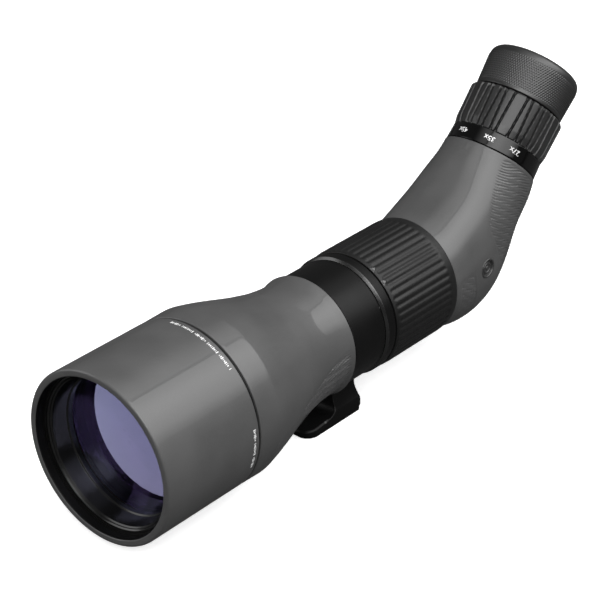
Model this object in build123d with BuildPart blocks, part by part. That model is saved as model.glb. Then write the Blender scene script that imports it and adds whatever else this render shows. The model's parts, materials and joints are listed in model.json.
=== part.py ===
from build123d import *

import os
from math import copysign, cos, pi, radians, sin

os.makedirs("parts", exist_ok=True)

# ---------------------------------------------------------------- frame
# Millimetres. Origin: mouth of the tripod thread, on the underside of the foot.
# +Z up, the objective looks along -Y, X = 0 is the plane of symmetry.
AXIS_Z = 57.0            # height of the optical axis over the foot
BEND_Y = 120.7           # where the eyepiece axis leaves the optical axis
TILT = 45                # degrees, eyepiece axis over the optical axis
RUNNING = 0.05           # radial clearance of sliding and turning fits
GAP = 0.4                # visible gap between neighbouring rings

EYE_DIR = (0, cos(radians(TILT)), sin(radians(TILT)))
BEND = (0, BEND_Y, AXIS_Z)
# Local x runs along the axis (the station), local y is the radius.
BARREL = Plane(origin=(0, 0, AXIS_Z), x_dir=(0, 1, 0), z_dir=(1, 0, 0))
BARREL_AXIS = Axis((0, 0, AXIS_Z), (0, 1, 0))
EYEPIECE = Plane(origin=BEND, x_dir=EYE_DIR, z_dir=(1, 0, 0))
EYEPIECE_AXIS = Axis(BEND, EYE_DIR)
SIDE = Plane.YZ          # local x = Y, local y = Z
PAST = 1.0               # how far a cutter runs past the surface it opens

# ---------------------------------------------------------------- stations along the barrel (Y)
FRONT_Y = -170.0         # rim of the sunshade
HOOD_REAR_Y = -101.0
ARMOUR_FRONT_Y = -100.4
ARMOUR_REAR_Y = -5.2
TUBE_FRONT_Y = -163.0
LENS_SEAT_Y = -148.5     # flat bevel of the front lens
CELL_REAR_Y = -131.0
CONE_FRONT_Y = -86.0     # the front tube starts to narrow
CONE_REAR_Y = -20.0
SPIGOT_Y = -18.0         # front end of the mid tube
COLLAR_FRONT_Y = -3.6
COLLAR_REAR_Y = 23.3
FLANGE_Y = 23.7
FLANGE_REAR_Y = 31.6
FOCUS_FRONT_Y = 32.6
FOCUS_REAR_Y = 88.6
HOUSING_Y = 89.0         # front plane of the prism housing
MID_REAR_Y = 96.0

# ---------------------------------------------------------------- radii about the optical axis
HOOD_R = 50.4
HOOD_BORE_R = 48.3
HOOD_LIP_R = 46.0
TUBE_R = 47.5            # front tube inside the sunshade
CELL_R = 45.2
LENS_R = 42.0
CLEAR_R = 40.2           # clear aperture, 80 mm class
WAIST_R = 33.2           # front tube behind the cone
ARMOUR_WAIST_R = 35.3
SPIGOT_R = 31.0
MID_R = 32.5
MID_BORE_R = 29.5
COLLAR_R = 35.1
COLLAR_BORE_R = 32.9
FLANGE_R = 36.4
FOCUS_CORE_R = 34.4
FOCUS_R = 36.9

# ---------------------------------------------------------------- eyepiece stations and radii
EYE_END = 66.0           # end plane of the prism housing
SCALE_FRONT = 66.5
SCALE_REAR = 76.5
ZOOM_FRONT = 76.7
ZOOM_REAR = 103.9
CUP_FRONT = 105.0
CUP_REAR = 132.0
EYE_TUBE_REAR = 125.4
EYE_END_R = 29.7
EYE_TUBE_R = 24.5
EYE_BORE_R = 22.4
SLEEVE_R = 22.35
SLEEVE_BORE_R = 20.95
CELL_OUT_R = 20.9
ZOOM_CORE_R = 27.0
ROD_R = 1.2
ROD_PITCH_R = 18.6
ZOOM_TURN = 55           # degrees either way from the mid setting

PARTS = []


def keep(builder, name):
    """Label a finished piece and put it on the list that is written at the end."""
    builder.part.label = name
    PARTS.append(builder.part)


def outline(*points):
    """Closed polygon through (station, radius) points of a turned piece."""
    Polygon(*points, align=None)


def ring(start, end, inner, outer):
    """Plain ring between two stations."""
    outline((start, inner), (end, inner), (end, outer), (start, outer))


def dome(apex, rim, radius):
    """Spherical lens face, drawn from its apex on the axis out to its rim."""
    TangentArc((apex, 0), (rim, radius), tangent=(0, 1))


# ================================================================ sunshade and objective
LIP_DEPTH = 6.0
RIM_ROUND = 1.0
GLIDES = (-158.0, -148.0)        # front stations of the two glide rings
GLIDE_WIDTH = 6.0
GLIDE_GROOVE_R = 46.9

with BuildPart() as sunshade:
    with BuildSketch(BARREL):
        outline(
            (FRONT_Y, HOOD_LIP_R),
            (FRONT_Y, HOOD_R),
            (HOOD_REAR_Y, HOOD_R),
            (HOOD_REAR_Y, HOOD_BORE_R),
            (FRONT_Y + LIP_DEPTH, HOOD_BORE_R),
            (FRONT_Y + LIP_DEPTH, HOOD_LIP_R),
        )
    revolve(axis=BARREL_AXIS)
    rims = sunshade.edges().filter_by(GeomType.CIRCLE).group_by(Axis.Y)
    fillet(rims[0], RIM_ROUND)
    chamfer(rims[-1].sort_by(SortBy.RADIUS)[-1], GAP)
keep(sunshade, "sunshade")

with BuildPart() as sunshade_glide_rings:
    with BuildSketch(BARREL):
        for station in GLIDES:
            ring(station, station + GLIDE_WIDTH, GLIDE_GROOVE_R, HOOD_BORE_R - RUNNING)
    revolve(axis=BARREL_AXIS)
keep(sunshade_glide_rings, "sunshade_glide_rings")

ARMOUR_SEAT_R = 48.7
CONE_WALL = 2.3
CELL_STOP_R = 43.5
CELL_STOP_WIDTH = 3.0
CONE_BORE_R = ARMOUR_SEAT_R - CONE_WALL

with BuildPart() as front_tube:
    with BuildSketch(BARREL):
        outline(
            (TUBE_FRONT_Y, CELL_R),
            (TUBE_FRONT_Y, TUBE_R),
            (ARMOUR_FRONT_Y, TUBE_R),
            (ARMOUR_FRONT_Y, ARMOUR_SEAT_R),
            (CONE_FRONT_Y, ARMOUR_SEAT_R),
            (CONE_REAR_Y, WAIST_R),
            (COLLAR_FRONT_Y - GAP, WAIST_R),
            (COLLAR_FRONT_Y - GAP, SPIGOT_R),
            (CONE_REAR_Y, SPIGOT_R),
            (CONE_FRONT_Y, CONE_BORE_R),
            (CELL_REAR_Y + CELL_STOP_WIDTH, CONE_BORE_R),
            (CELL_REAR_Y + CELL_STOP_WIDTH, CELL_STOP_R),
            (CELL_REAR_Y, CELL_STOP_R),
            (CELL_REAR_Y, CELL_R),
        )
        for station in GLIDES:
            with Locations((station + GLIDE_WIDTH / 2, TUBE_R)):
                Rectangle(GLIDE_WIDTH, 2 * (TUBE_R - GLIDE_GROOVE_R), mode=Mode.SUBTRACT)
    revolve(axis=BARREL_AXIS)
keep(front_tube, "front_tube")

SHOULDER_Y = -85.0       # end of the cylindrical stretch of the armour
SHOULDER_R = 50.7
SHOULDER_SLOPE = -0.2    # the taper starts with a distinct edge
TAPER_MID = (-66.0, 46.0)
TAPER_SLOPE = -0.29
WAIST_Y = -11.5
LIP_R = 36.9             # the armour swells where it meets the collar
SWELL_R = 10.0
SWELL_TURN = 29          # degrees
SWELL_END = (
    WAIST_Y + SWELL_R * sin(radians(SWELL_TURN)),
    ARMOUR_WAIST_R + SWELL_R * (1 - cos(radians(SWELL_TURN))),
)

with BuildPart() as barrel_armour:
    with BuildSketch(BARREL):
        with BuildLine():
            Line((ARMOUR_FRONT_Y, ARMOUR_SEAT_R), (ARMOUR_FRONT_Y, HOOD_R - GAP))
            Line((ARMOUR_FRONT_Y, HOOD_R - GAP), (ARMOUR_FRONT_Y + GAP, HOOD_R))
            Line((ARMOUR_FRONT_Y + GAP, HOOD_R), (SHOULDER_Y, SHOULDER_R))
            Spline(
                (SHOULDER_Y, SHOULDER_R),
                TAPER_MID,
                (WAIST_Y, ARMOUR_WAIST_R),
                tangents=((1, SHOULDER_SLOPE), (1, TAPER_SLOPE), (1, 0)),
            )
            JernArc((WAIST_Y, ARMOUR_WAIST_R), (1, 0), SWELL_R, SWELL_TURN)
            Line(SWELL_END, (ARMOUR_REAR_Y, LIP_R))
            Line((ARMOUR_REAR_Y, LIP_R), (ARMOUR_REAR_Y, WAIST_R))
            Line((ARMOUR_REAR_Y, WAIST_R), (CONE_REAR_Y, WAIST_R))
            Line((CONE_REAR_Y, WAIST_R), (CONE_FRONT_Y, ARMOUR_SEAT_R))
            Line((CONE_FRONT_Y, ARMOUR_SEAT_R), (ARMOUR_FRONT_Y, ARMOUR_SEAT_R))
        make_face()
    revolve(axis=BARREL_AXIS)
keep(barrel_armour, "barrel_armour")

RETAINER_Y = FRONT_Y + LIP_DEPTH + 0.6
BEZEL_Y = -152.5         # narrowest place of the retainer's cone
BEZEL_EASE = 1.0
LENS_CLAMP_R = 41.0

with BuildPart() as objective_retainer:
    with BuildSketch(BARREL):
        outline(
            (RETAINER_Y, LENS_R),
            (BEZEL_Y, CLEAR_R),
            (BEZEL_Y + BEZEL_EASE, LENS_CLAMP_R),
            (LENS_SEAT_Y, LENS_CLAMP_R),
            (LENS_SEAT_Y, CELL_R),
            (RETAINER_Y, CELL_R),
        )
    revolve(axis=BARREL_AXIS)
keep(objective_retainer, "objective_retainer")

# Both lenses are ground to these sags at the clamp radius.
SAG = 3.6
FRONT_EDGE = 5.0         # edge thickness of the front lens
SPACER = 1.0
REAR_EDGE = 7.0
REAR_LENS_Y = LENS_SEAT_Y + FRONT_EDGE + SPACER

with BuildPart() as objective_front_lens:
    with BuildSketch(BARREL):
        with BuildLine():
            dome(LENS_SEAT_Y - SAG, LENS_SEAT_Y, LENS_CLAMP_R)
            Line((LENS_SEAT_Y - SAG, 0), (LENS_SEAT_Y + FRONT_EDGE + SAG, 0))
            dome(LENS_SEAT_Y + FRONT_EDGE + SAG, LENS_SEAT_Y + FRONT_EDGE, LENS_CLAMP_R)
            Polyline(
                (LENS_SEAT_Y + FRONT_EDGE, LENS_CLAMP_R),
                (LENS_SEAT_Y + FRONT_EDGE, LENS_R),
                (LENS_SEAT_Y, LENS_R),
                (LENS_SEAT_Y, LENS_CLAMP_R),
            )
        make_face()
    revolve(axis=BARREL_AXIS)
keep(objective_front_lens, "objective_front_lens")

with BuildPart() as objective_rear_lens:
    with BuildSketch(BARREL):
        with BuildLine():
            dome(REAR_LENS_Y + SAG, REAR_LENS_Y, LENS_CLAMP_R)
            Polyline(
                (REAR_LENS_Y + SAG, 0),
                (REAR_LENS_Y + REAR_EDGE, 0),
                (REAR_LENS_Y + REAR_EDGE, LENS_R),
                (REAR_LENS_Y, LENS_R),
                (REAR_LENS_Y, LENS_CLAMP_R),
            )
        make_face()
    revolve(axis=BARREL_AXIS)
keep(objective_rear_lens, "objective_rear_lens")

with BuildPart() as objective_spacer:
    with BuildSketch(BARREL):
        ring(LENS_SEAT_Y + FRONT_EDGE, REAR_LENS_Y, LENS_CLAMP_R, LENS_R)
    revolve(axis=BARREL_AXIS)
keep(objective_spacer, "objective_spacer")

CELL_LIP_R = 39.5
with BuildPart() as objective_cell:
    with BuildSketch(BARREL):
        outline(
            (LENS_SEAT_Y, LENS_R),
            (REAR_LENS_Y + REAR_EDGE, LENS_R),
            (REAR_LENS_Y + REAR_EDGE, CELL_LIP_R),
            (CELL_REAR_Y, CELL_LIP_R),
            (CELL_REAR_Y, CELL_R),
            (LENS_SEAT_Y, CELL_R),
        )
    revolve(axis=BARREL_AXIS)
keep(objective_cell, "objective_cell")

BAFFLES = {-110.0: 38.0, -75.0: 34.9, -40.0: 31.7}     # station: opening radius
BAFFLE_THICK = 1.0


def bore_at(station):
    """Inner radius of the front tube."""
    slope = (SPIGOT_R - CONE_BORE_R) / (CONE_REAR_Y - CONE_FRONT_Y)
    return CONE_BORE_R + slope * max(0.0, station - CONE_FRONT_Y)


with BuildPart() as light_baffles:
    with BuildSketch(BARREL):
        for station, opening in BAFFLES.items():
            back = station + BAFFLE_THICK
            outline((station, opening), (station, bore_at(station)), (back, bore_at(back)), (back, opening))
    revolve(axis=BARREL_AXIS)
keep(light_baffles, "light_baffles")

# ================================================================ mid tube, collar and foot
PIN_R = 1.98
FOCUS_PIN_Y = 60.0
SLOT_HALF = 11.5
CRADLE_SCREW_R = 0.9
CRADLE_PITCH_R = 29.4
CRADLE_SCREWS = 3
CRADLE_SCREW_DEPTH = 4.0
CRADLE_HEAD_R = 1.2
STEP_Y = 84.0            # front face of the step behind the focusing carriage
STEP_R = 28.0
BACKPLANE = Plane(origin=(0, MID_REAR_Y, AXIS_Z), x_dir=(1, 0, 0), z_dir=(0, 1, 0))

with BuildPart() as mid_tube:
    with BuildSketch(BARREL):
        outline(
            (SPIGOT_Y, MID_BORE_R),
            (SPIGOT_Y, SPIGOT_R),
            (COLLAR_FRONT_Y - GAP, SPIGOT_R),
            (COLLAR_FRONT_Y - GAP, MID_R),
            (HOUSING_Y, MID_R),
            (HOUSING_Y, SPIGOT_R),
            (MID_REAR_Y, SPIGOT_R),
            (MID_REAR_Y, STEP_R),
            (STEP_Y, STEP_R),
            (STEP_Y, MID_BORE_R),
        )
    revolve(axis=BARREL_AXIS)
    with BuildSketch(Plane.XY.offset(AXIS_Z)):
        with Locations((0, FOCUS_PIN_Y)):
            SlotOverall(2 * SLOT_HALF, 2 * (PIN_R + RUNNING), rotation=90)
    extrude(amount=MID_R + PAST, mode=Mode.SUBTRACT)
    with BuildSketch(BACKPLANE):
        with PolarLocations(CRADLE_PITCH_R, CRADLE_SCREWS, start_angle=30):
            Circle(CRADLE_SCREW_R)
    extrude(amount=-CRADLE_SCREW_DEPTH, mode=Mode.SUBTRACT)
keep(mid_tube, "mid_tube")

FLANGE_NOSE_R = 34.9
FLANGE_BEVEL = 2.0       # length of the bevel that faces the collar
FLANGE_EASE = 0.6

with BuildPart() as seat_flange:
    with BuildSketch(BARREL):
        outline(
            (FLANGE_Y, MID_R),
            (FLANGE_Y, FLANGE_NOSE_R),
            (FLANGE_Y + FLANGE_BEVEL, FLANGE_R),
            (FLANGE_REAR_Y - FLANGE_EASE, FLANGE_R),
            (FLANGE_REAR_Y, FLANGE_R - FLANGE_EASE),
            (FLANGE_REAR_Y, MID_R),
        )
    revolve(axis=BARREL_AXIS)
keep(seat_flange, "seat_flange")

SLIP_STATIONS = (-2.0, 16.0)
SLIP_WIDTH = 6.0
SLIP_R = 33.6
KNOB_Y = 9.85
KNOB_DIR = (-cos(radians(30)), 0, -sin(radians(30)))
KNOB = Plane(origin=(0, KNOB_Y, AXIS_Z), x_dir=(0, 1, 0), z_dir=KNOB_DIR)
BOSS_R = 7.0
BOSS_END = 38.5
SCREW_R = 2.5

FOOT_HALF = 15.5
FOOT_NOSE_Y = -21.0
FOOT_REAR_Y = 26.0
FOOT_THICK = 6.5
FOOT_ROUND = 3.0         # rear corners of the plate
FOOT_EASE = 1.2          # chamfer round the top of the plate
NOSE_THICK = 4.6
NOSE_ROUND = 8.0
NOSE_END_Y = -4.0        # where the plate reaches its full thickness
NOSE_CUT_Z = 9.0
NECK_HALF = 12.5         # at the waist
NECK_WAIST_Z = 20.0
NECK_FLARE_Z = 9.0       # below this the neck is as wide as the plate
NECK_FRONT_Y = 3.3
NECK_ROOT_R = 6.0        # hollow round where the neck rises from the nose
NECK_ROOT_Z = 3.0        # the neck starts inside the plate
NECK_TOP_Z = 26.0
NECK_REAR = (FOOT_REAR_Y - 0.6, 7.0)
NECK_SLOPE_END_Z = 17.0
FLARE_INSET = FOOT_HALF - NECK_HALF
FLARE_R = ((NECK_WAIST_Z - NECK_FLARE_Z) ** 2 + FLARE_INSET ** 2) / (2 * FLARE_INSET)
INSERT_R = 5.2
INSERT_DEPTH = 6.0
THREAD_R = 3.175         # 1/4 inch tripod thread
STEER_Y = -13.0          # anti-twist pin hole
STEER_R = 2.3
STEER_DEPTH = 3.5

with BuildPart() as tripod_collar:
    with BuildSketch(Plane.XY):
        with Locations((0, (FOOT_NOSE_Y + FOOT_REAR_Y) / 2)):
            Rectangle(2 * FOOT_HALF, FOOT_REAR_Y - FOOT_NOSE_Y)
        fillet(vertices().group_by(Axis.Y)[0], NOSE_ROUND)
        fillet(vertices().group_by(Axis.Y)[-1], FOOT_ROUND)
    extrude(amount=FOOT_THICK)
    with BuildSketch(SIDE):
        outline(
            (FOOT_NOSE_Y - PAST, NOSE_THICK),
            (NOSE_END_Y, FOOT_THICK),
            (NOSE_END_Y, NOSE_CUT_Z),
            (FOOT_NOSE_Y - PAST, NOSE_CUT_Z),
        )
    extrude(amount=FOOT_HALF, both=True, mode=Mode.SUBTRACT)
    raised = tripod_collar.edges().filter_by_position(Axis.Z, PAST, NOSE_CUT_Z)
    chamfer(raised.filter_by(lambda edge: edge.center().Z > NOSE_THICK - GAP), FOOT_EASE)
    with BuildSketch(SIDE):
        with BuildLine():
            Line((NECK_FRONT_Y, NECK_TOP_Z), (NECK_FRONT_Y, FOOT_THICK + NECK_ROOT_R))
            JernArc((NECK_FRONT_Y, FOOT_THICK + NECK_ROOT_R), (0, -1), NECK_ROOT_R, -90)
            Polyline(
                (NECK_FRONT_Y - NECK_ROOT_R, FOOT_THICK),
                (NECK_FRONT_Y - NECK_ROOT_R, NECK_ROOT_Z),
                (NECK_REAR[0], NECK_ROOT_Z),
                NECK_REAR,
                (COLLAR_REAR_Y, NECK_SLOPE_END_Z),
                (COLLAR_REAR_Y, NECK_TOP_Z),
                (NECK_FRONT_Y, NECK_TOP_Z),
            )
        make_face()
    extrude(amount=FOOT_HALF, both=True)
    with BuildSketch(Plane.XZ):
        with Locations(
            (-NECK_HALF - FLARE_R, NECK_WAIST_Z),
            (NECK_HALF + FLARE_R, NECK_WAIST_Z),
        ):
            Circle(FLARE_R)
    extrude(amount=FOOT_REAR_Y + PAST, both=True, mode=Mode.SUBTRACT)
    with BuildSketch(BARREL):
        ring(COLLAR_FRONT_Y, COLLAR_REAR_Y, COLLAR_BORE_R, COLLAR_R)
    revolve(axis=BARREL_AXIS)
    with BuildSketch(KNOB.offset(COLLAR_BORE_R)):
        Circle(BOSS_R)
    extrude(amount=BOSS_END - COLLAR_BORE_R)
    with BuildSketch(BARREL):
        ring(COLLAR_FRONT_Y, COLLAR_REAR_Y, 0, COLLAR_BORE_R)
        for station in SLIP_STATIONS:
            ring(station, station + SLIP_WIDTH, 0, SLIP_R)
    revolve(axis=BARREL_AXIS, mode=Mode.SUBTRACT)
    with BuildSketch(KNOB):
        Circle(SCREW_R + RUNNING)
    extrude(amount=BOSS_END + PAST, mode=Mode.SUBTRACT)
    with BuildSketch(Plane.XY):
        Circle(INSERT_R)
    extrude(amount=INSERT_DEPTH, mode=Mode.SUBTRACT)
    with BuildSketch(Plane.XY):
        with Locations((0, STEER_Y)):
            Circle(STEER_R)
    extrude(amount=STEER_DEPTH, mode=Mode.SUBTRACT)
keep(tripod_collar, "tripod_collar")

with BuildPart() as collar_slip_rings:
    with BuildSketch(BARREL):
        for station in SLIP_STATIONS:
            ring(station, station + SLIP_WIDTH, MID_R + RUNNING, SLIP_R)
    revolve(axis=BARREL_AXIS)
keep(collar_slip_rings, "collar_slip_rings")

INSERT_FLOOR = 0.6
THREAD_LEAD = 0.5
with BuildPart() as foot_thread_insert:
    with BuildSketch(Plane.XY):
        Circle(INSERT_R)
        Circle(THREAD_R, mode=Mode.SUBTRACT)
    extrude(amount=INSERT_DEPTH)
    with BuildSketch(Plane.XY.offset(INSERT_DEPTH - INSERT_FLOOR)):
        Circle(INSERT_R)
    extrude(amount=INSERT_FLOOR)
    mouth = foot_thread_insert.edges().filter_by(GeomType.CIRCLE).group_by(Axis.Z)[0]
    chamfer(mouth.sort_by(SortBy.RADIUS)[0], THREAD_LEAD)
keep(foot_thread_insert, "foot_thread_insert")

SCREW_TIP = 32.7
SCREW_END = 47.0
SCREW_EASE = 0.4
with BuildPart() as collar_lock_screw:
    with BuildSketch(KNOB.offset(SCREW_TIP)):
        Circle(SCREW_R)
    extrude(amount=SCREW_END - SCREW_TIP)
    chamfer(collar_lock_screw.edges().filter_by(GeomType.CIRCLE), SCREW_EASE)
keep(collar_lock_screw, "collar_lock_screw")

KNOB_SEAT = 38.9
KNOB_R = 9.0
KNOB_HEIGHT = 11.5
KNOB_FLUTES = 12
KNOB_FLUTE_R = 1.6
KNOB_FLUTE_PITCH_R = 9.8
KNOB_DISH_R = 6.4
KNOB_DISH_DEPTH = 1.2

with BuildPart() as collar_lock_knob:
    with BuildSketch(KNOB.offset(KNOB_SEAT)):
        Circle(KNOB_R)
        with PolarLocations(KNOB_FLUTE_PITCH_R, KNOB_FLUTES):
            Circle(KNOB_FLUTE_R, mode=Mode.SUBTRACT)
    extrude(amount=KNOB_HEIGHT)
    with BuildSketch(KNOB.offset(KNOB_SEAT)):
        Circle(SCREW_R)
    extrude(amount=SCREW_END - KNOB_SEAT, mode=Mode.SUBTRACT)
    with BuildSketch(KNOB.offset(KNOB_SEAT + KNOB_HEIGHT - KNOB_DISH_DEPTH)):
        Circle(KNOB_DISH_R)
    extrude(amount=KNOB_DISH_DEPTH, mode=Mode.SUBTRACT)
keep(collar_lock_knob, "collar_lock_knob")

# ================================================================ focusing
RECESS_HALF = 16.0       # relief inside the focus ring for the drive pin
RECESS_R = 33.5

with BuildPart() as focus_ring:
    with BuildSketch(BARREL):
        outline(
            (FOCUS_FRONT_Y, MID_R + RUNNING),
            (FOCUS_FRONT_Y, FOCUS_CORE_R),
            (FOCUS_REAR_Y, FOCUS_CORE_R),
            (FOCUS_REAR_Y, MID_R + RUNNING),
            (FOCUS_PIN_Y + RECESS_HALF, MID_R + RUNNING),
            (FOCUS_PIN_Y + RECESS_HALF, RECESS_R),
            (FOCUS_PIN_Y - RECESS_HALF, RECESS_R),
            (FOCUS_PIN_Y - RECESS_HALF, MID_R + RUNNING),
        )
    revolve(axis=BARREL_AXIS)
keep(focus_ring, "focus_ring")

FOCUS_RIBS = 60
RIB_GROOVE = 1.4
RIB_DEPTH = 0.9
RIB_FRONT_Y = 37.0
RIB_REAR_Y = 83.0
FOCUS_FRONT_R = (35.9, 36.5)     # front edge of the grip, before and after its chamfer
FOCUS_FRONT_EASE = 0.6
FOCUS_REAR_R = 35.0
FOCUS_REAR_EASE = 3.0
RIB_PLANE = Plane(origin=(0, (RIB_FRONT_Y + RIB_REAR_Y) / 2, AXIS_Z), z_dir=(0, 1, 0))

with BuildPart() as focus_grip:
    with BuildSketch(BARREL):
        outline(
            (FOCUS_FRONT_Y, FOCUS_CORE_R),
            (FOCUS_FRONT_Y, FOCUS_FRONT_R[0]),
            (FOCUS_FRONT_Y + FOCUS_FRONT_EASE, FOCUS_FRONT_R[1]),
            (FOCUS_REAR_Y - FOCUS_REAR_EASE, FOCUS_R),
            (FOCUS_REAR_Y, FOCUS_REAR_R),
            (FOCUS_REAR_Y, FOCUS_CORE_R),
        )
    revolve(axis=BARREL_AXIS)
    with Locations(Location(RIB_PLANE)):
        with PolarLocations(FOCUS_R, FOCUS_RIBS):
            Box(2 * RIB_DEPTH, RIB_GROOVE, RIB_REAR_Y - RIB_FRONT_Y, mode=Mode.SUBTRACT)
keep(focus_grip, "focus_grip")

CARRIER_R = MID_BORE_R - RUNNING
FOCUS_LENS_R = 26.0
FOCUS_LIP_R = 24.0
CARRIER_HALF = 11.0
FOCUS_LENS_SEAT = 65.0

with BuildPart() as focus_carrier:
    with BuildSketch(BARREL):
        outline(
            (FOCUS_PIN_Y - CARRIER_HALF, FOCUS_LENS_R),
            (FOCUS_PIN_Y - CARRIER_HALF, CARRIER_R),
            (FOCUS_PIN_Y + CARRIER_HALF, CARRIER_R),
            (FOCUS_PIN_Y + CARRIER_HALF, FOCUS_LIP_R),
            (FOCUS_LENS_SEAT, FOCUS_LIP_R),
            (FOCUS_LENS_SEAT, FOCUS_LENS_R),
        )
    revolve(axis=BARREL_AXIS)
    with BuildSketch(Plane.XY.offset(AXIS_Z)):
        with Locations((0, FOCUS_PIN_Y)):
            Circle(PIN_R)
    extrude(amount=MID_R, mode=Mode.SUBTRACT)
keep(focus_carrier, "focus_carrier")

FOCUS_EDGE = 5.0
FOCUS_HOLLOW = 1.5       # both faces of the focusing lens are hollow
FOCUS_LENS_FRONT = FOCUS_LENS_SEAT - FOCUS_EDGE
FOCUS_RETAINER_WIDTH = 3.0

with BuildPart() as focusing_lens:
    with BuildSketch(BARREL):
        with BuildLine():
            dome(FOCUS_LENS_FRONT + FOCUS_HOLLOW, FOCUS_LENS_FRONT, FOCUS_LIP_R)
            Line((FOCUS_LENS_FRONT + FOCUS_HOLLOW, 0), (FOCUS_LENS_SEAT - FOCUS_HOLLOW, 0))
            dome(FOCUS_LENS_SEAT - FOCUS_HOLLOW, FOCUS_LENS_SEAT, FOCUS_LIP_R)
            Polyline(
                (FOCUS_LENS_SEAT, FOCUS_LIP_R),
                (FOCUS_LENS_SEAT, FOCUS_LENS_R),
                (FOCUS_LENS_FRONT, FOCUS_LENS_R),
                (FOCUS_LENS_FRONT, FOCUS_LIP_R),
            )
        make_face()
    revolve(axis=BARREL_AXIS)
keep(focusing_lens, "focusing_lens")

with BuildPart() as focus_lens_retainer:
    with BuildSketch(BARREL):
        ring(FOCUS_LENS_FRONT - FOCUS_RETAINER_WIDTH, FOCUS_LENS_FRONT, FOCUS_LIP_R, FOCUS_LENS_R)
    revolve(axis=BARREL_AXIS)
keep(focus_lens_retainer, "focus_lens_retainer")

PIN_ROOT = 26.4
PIN_TIP = 33.3
with BuildPart() as focus_drive_pin:
    with BuildSketch(Plane.XY.offset(AXIS_Z + PIN_ROOT)):
        with Locations((0, FOCUS_PIN_Y)):
            Circle(PIN_R)
    extrude(amount=PIN_TIP - PIN_ROOT)
keep(focus_drive_pin, "focus_drive_pin")

# ================================================================ prism housing
# The elbow is a fan of cross-sections whose planes all pass through one pivot line.
REACH = (EYE_END + (BEND_Y - HOUSING_Y) * cos(radians(TILT))) / sin(radians(TILT))
PIVOT = (0, HOUSING_Y, AXIS_Z + REACH)
JOIN_R = 34.7            # round end that meets the focus ring
# fan angle: (inner reach, outer reach, half width, squareness)
ELBOW = {
    0.0: (REACH - JOIN_R, REACH + JOIN_R, JOIN_R, 2.0),
    7.0: (89.0, 163.6, 35.0, 2.4),
    13.0: (86.5, 164.7, 34.7, 2.5),
    20.0: (85.0, 160.8, 34.3, 2.5),
    26.0: (83.4, 152.8, 33.2, 2.4),
    35.0: (81.0, 144.4, 31.4, 2.1),
    45.0: (81.1, 140.5, EYE_END_R, 2.0),
}
SKIN = 1.6               # rubber armour
SHELL = 2.0              # metal wall under it
QUARTER_STEPS = 6        # spline points per quarter of a cross-section


def fan_plane(angle):
    """Plane of one cross-section; local y runs away from the pivot."""
    return Plane(origin=PIVOT, x_dir=(1, 0, 0), z_dir=(0, cos(radians(angle)), sin(radians(angle))))


def section_at(angle):
    """Section values at any fan angle, linear between the listed ones."""
    angles = list(ELBOW)
    upper = next(a for a in angles[1:] if angle <= a)
    lower = angles[angles.index(upper) - 1]
    share = (angle - lower) / (upper - lower)
    return tuple(a + (b - a) * share for a, b in zip(ELBOW[lower], ELBOW[upper]))


def elbow_section(angle, inset):
    """One closed cross-section of the elbow, drawn in by inset, as four quarter splines."""
    inner, outer, half, square = section_at(angle)
    middle = (inner + outer) / 2
    rise = (outer - inner) / 2 - inset

    def on_curve(turn):
        across = copysign(abs(cos(turn)) ** (2 / square), cos(turn))
        along = copysign(abs(sin(turn)) ** (2 / square), sin(turn))
        return ((half - inset) * across, middle + rise * along)

    headings = [(0, 1), (-1, 0), (0, -1), (1, 0), (0, 1)]
    with BuildSketch(fan_plane(angle)) as section:
        with BuildLine():
            for quarter in range(4):
                steps = [quarter + step / QUARTER_STEPS for step in range(QUARTER_STEPS + 1)]
                Spline(
                    *[on_curve(step * pi / 2) for step in steps],
                    tangents=(headings[quarter], headings[quarter + 1]),
                )
        make_face()
    return section.sketch


def elbow_sections(angles, inset):
    """The cross-sections that an elbow-shaped surface passes through."""
    return [elbow_section(angle, inset) for angle in angles]


END_WALL = 2.6           # fan angle taken up by each end wall of the metal shell
FULL_FAN = list(ELBOW)
CAVITY_FAN = [END_WALL, *FULL_FAN[1:-1], TILT - END_WALL]
SKIN_GAP = 0.06

PLUG_Y = 121.0
PLUG_Z = 60.0
PLUG_R = 5.6
PLUG_STEM_R = 3.5
PLUG_SEAT_X = 31.0
PLUG_FACE_X = 34.2
PLUG_PLANE = Plane(origin=(0, PLUG_Y, PLUG_Z), x_dir=(0, 1, 0), z_dir=(1, 0, 0))
PLUG_POCKET_X = 27.0     # floor of the plug's opening in the armour
PLUG_CUT = 12.0          # long enough to pass through the skin

outer_fan = elbow_sections(FULL_FAN, 0)
seat_fan = elbow_sections(FULL_FAN, SKIN + SKIN_GAP)
shell_fan = elbow_sections(FULL_FAN, SKIN + 2 * SKIN_GAP)
cavity_fan = elbow_sections(CAVITY_FAN, SKIN + SHELL)

with BuildPart() as housing_armour:
    loft(sections=outer_fan)
    loft(sections=seat_fan, mode=Mode.SUBTRACT)
    with BuildSketch(PLUG_PLANE.offset(PLUG_POCKET_X)):
        Circle(PLUG_R + SKIN_GAP)
    extrude(amount=PLUG_CUT, mode=Mode.SUBTRACT)
keep(housing_armour, "housing_armour")

EYE_FLANGE_R = 26.5
ENTRY_DEPTH = 11.7       # opening for the mid tube
EXIT_DEPTH = 12.0        # opening for the eyepiece

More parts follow.
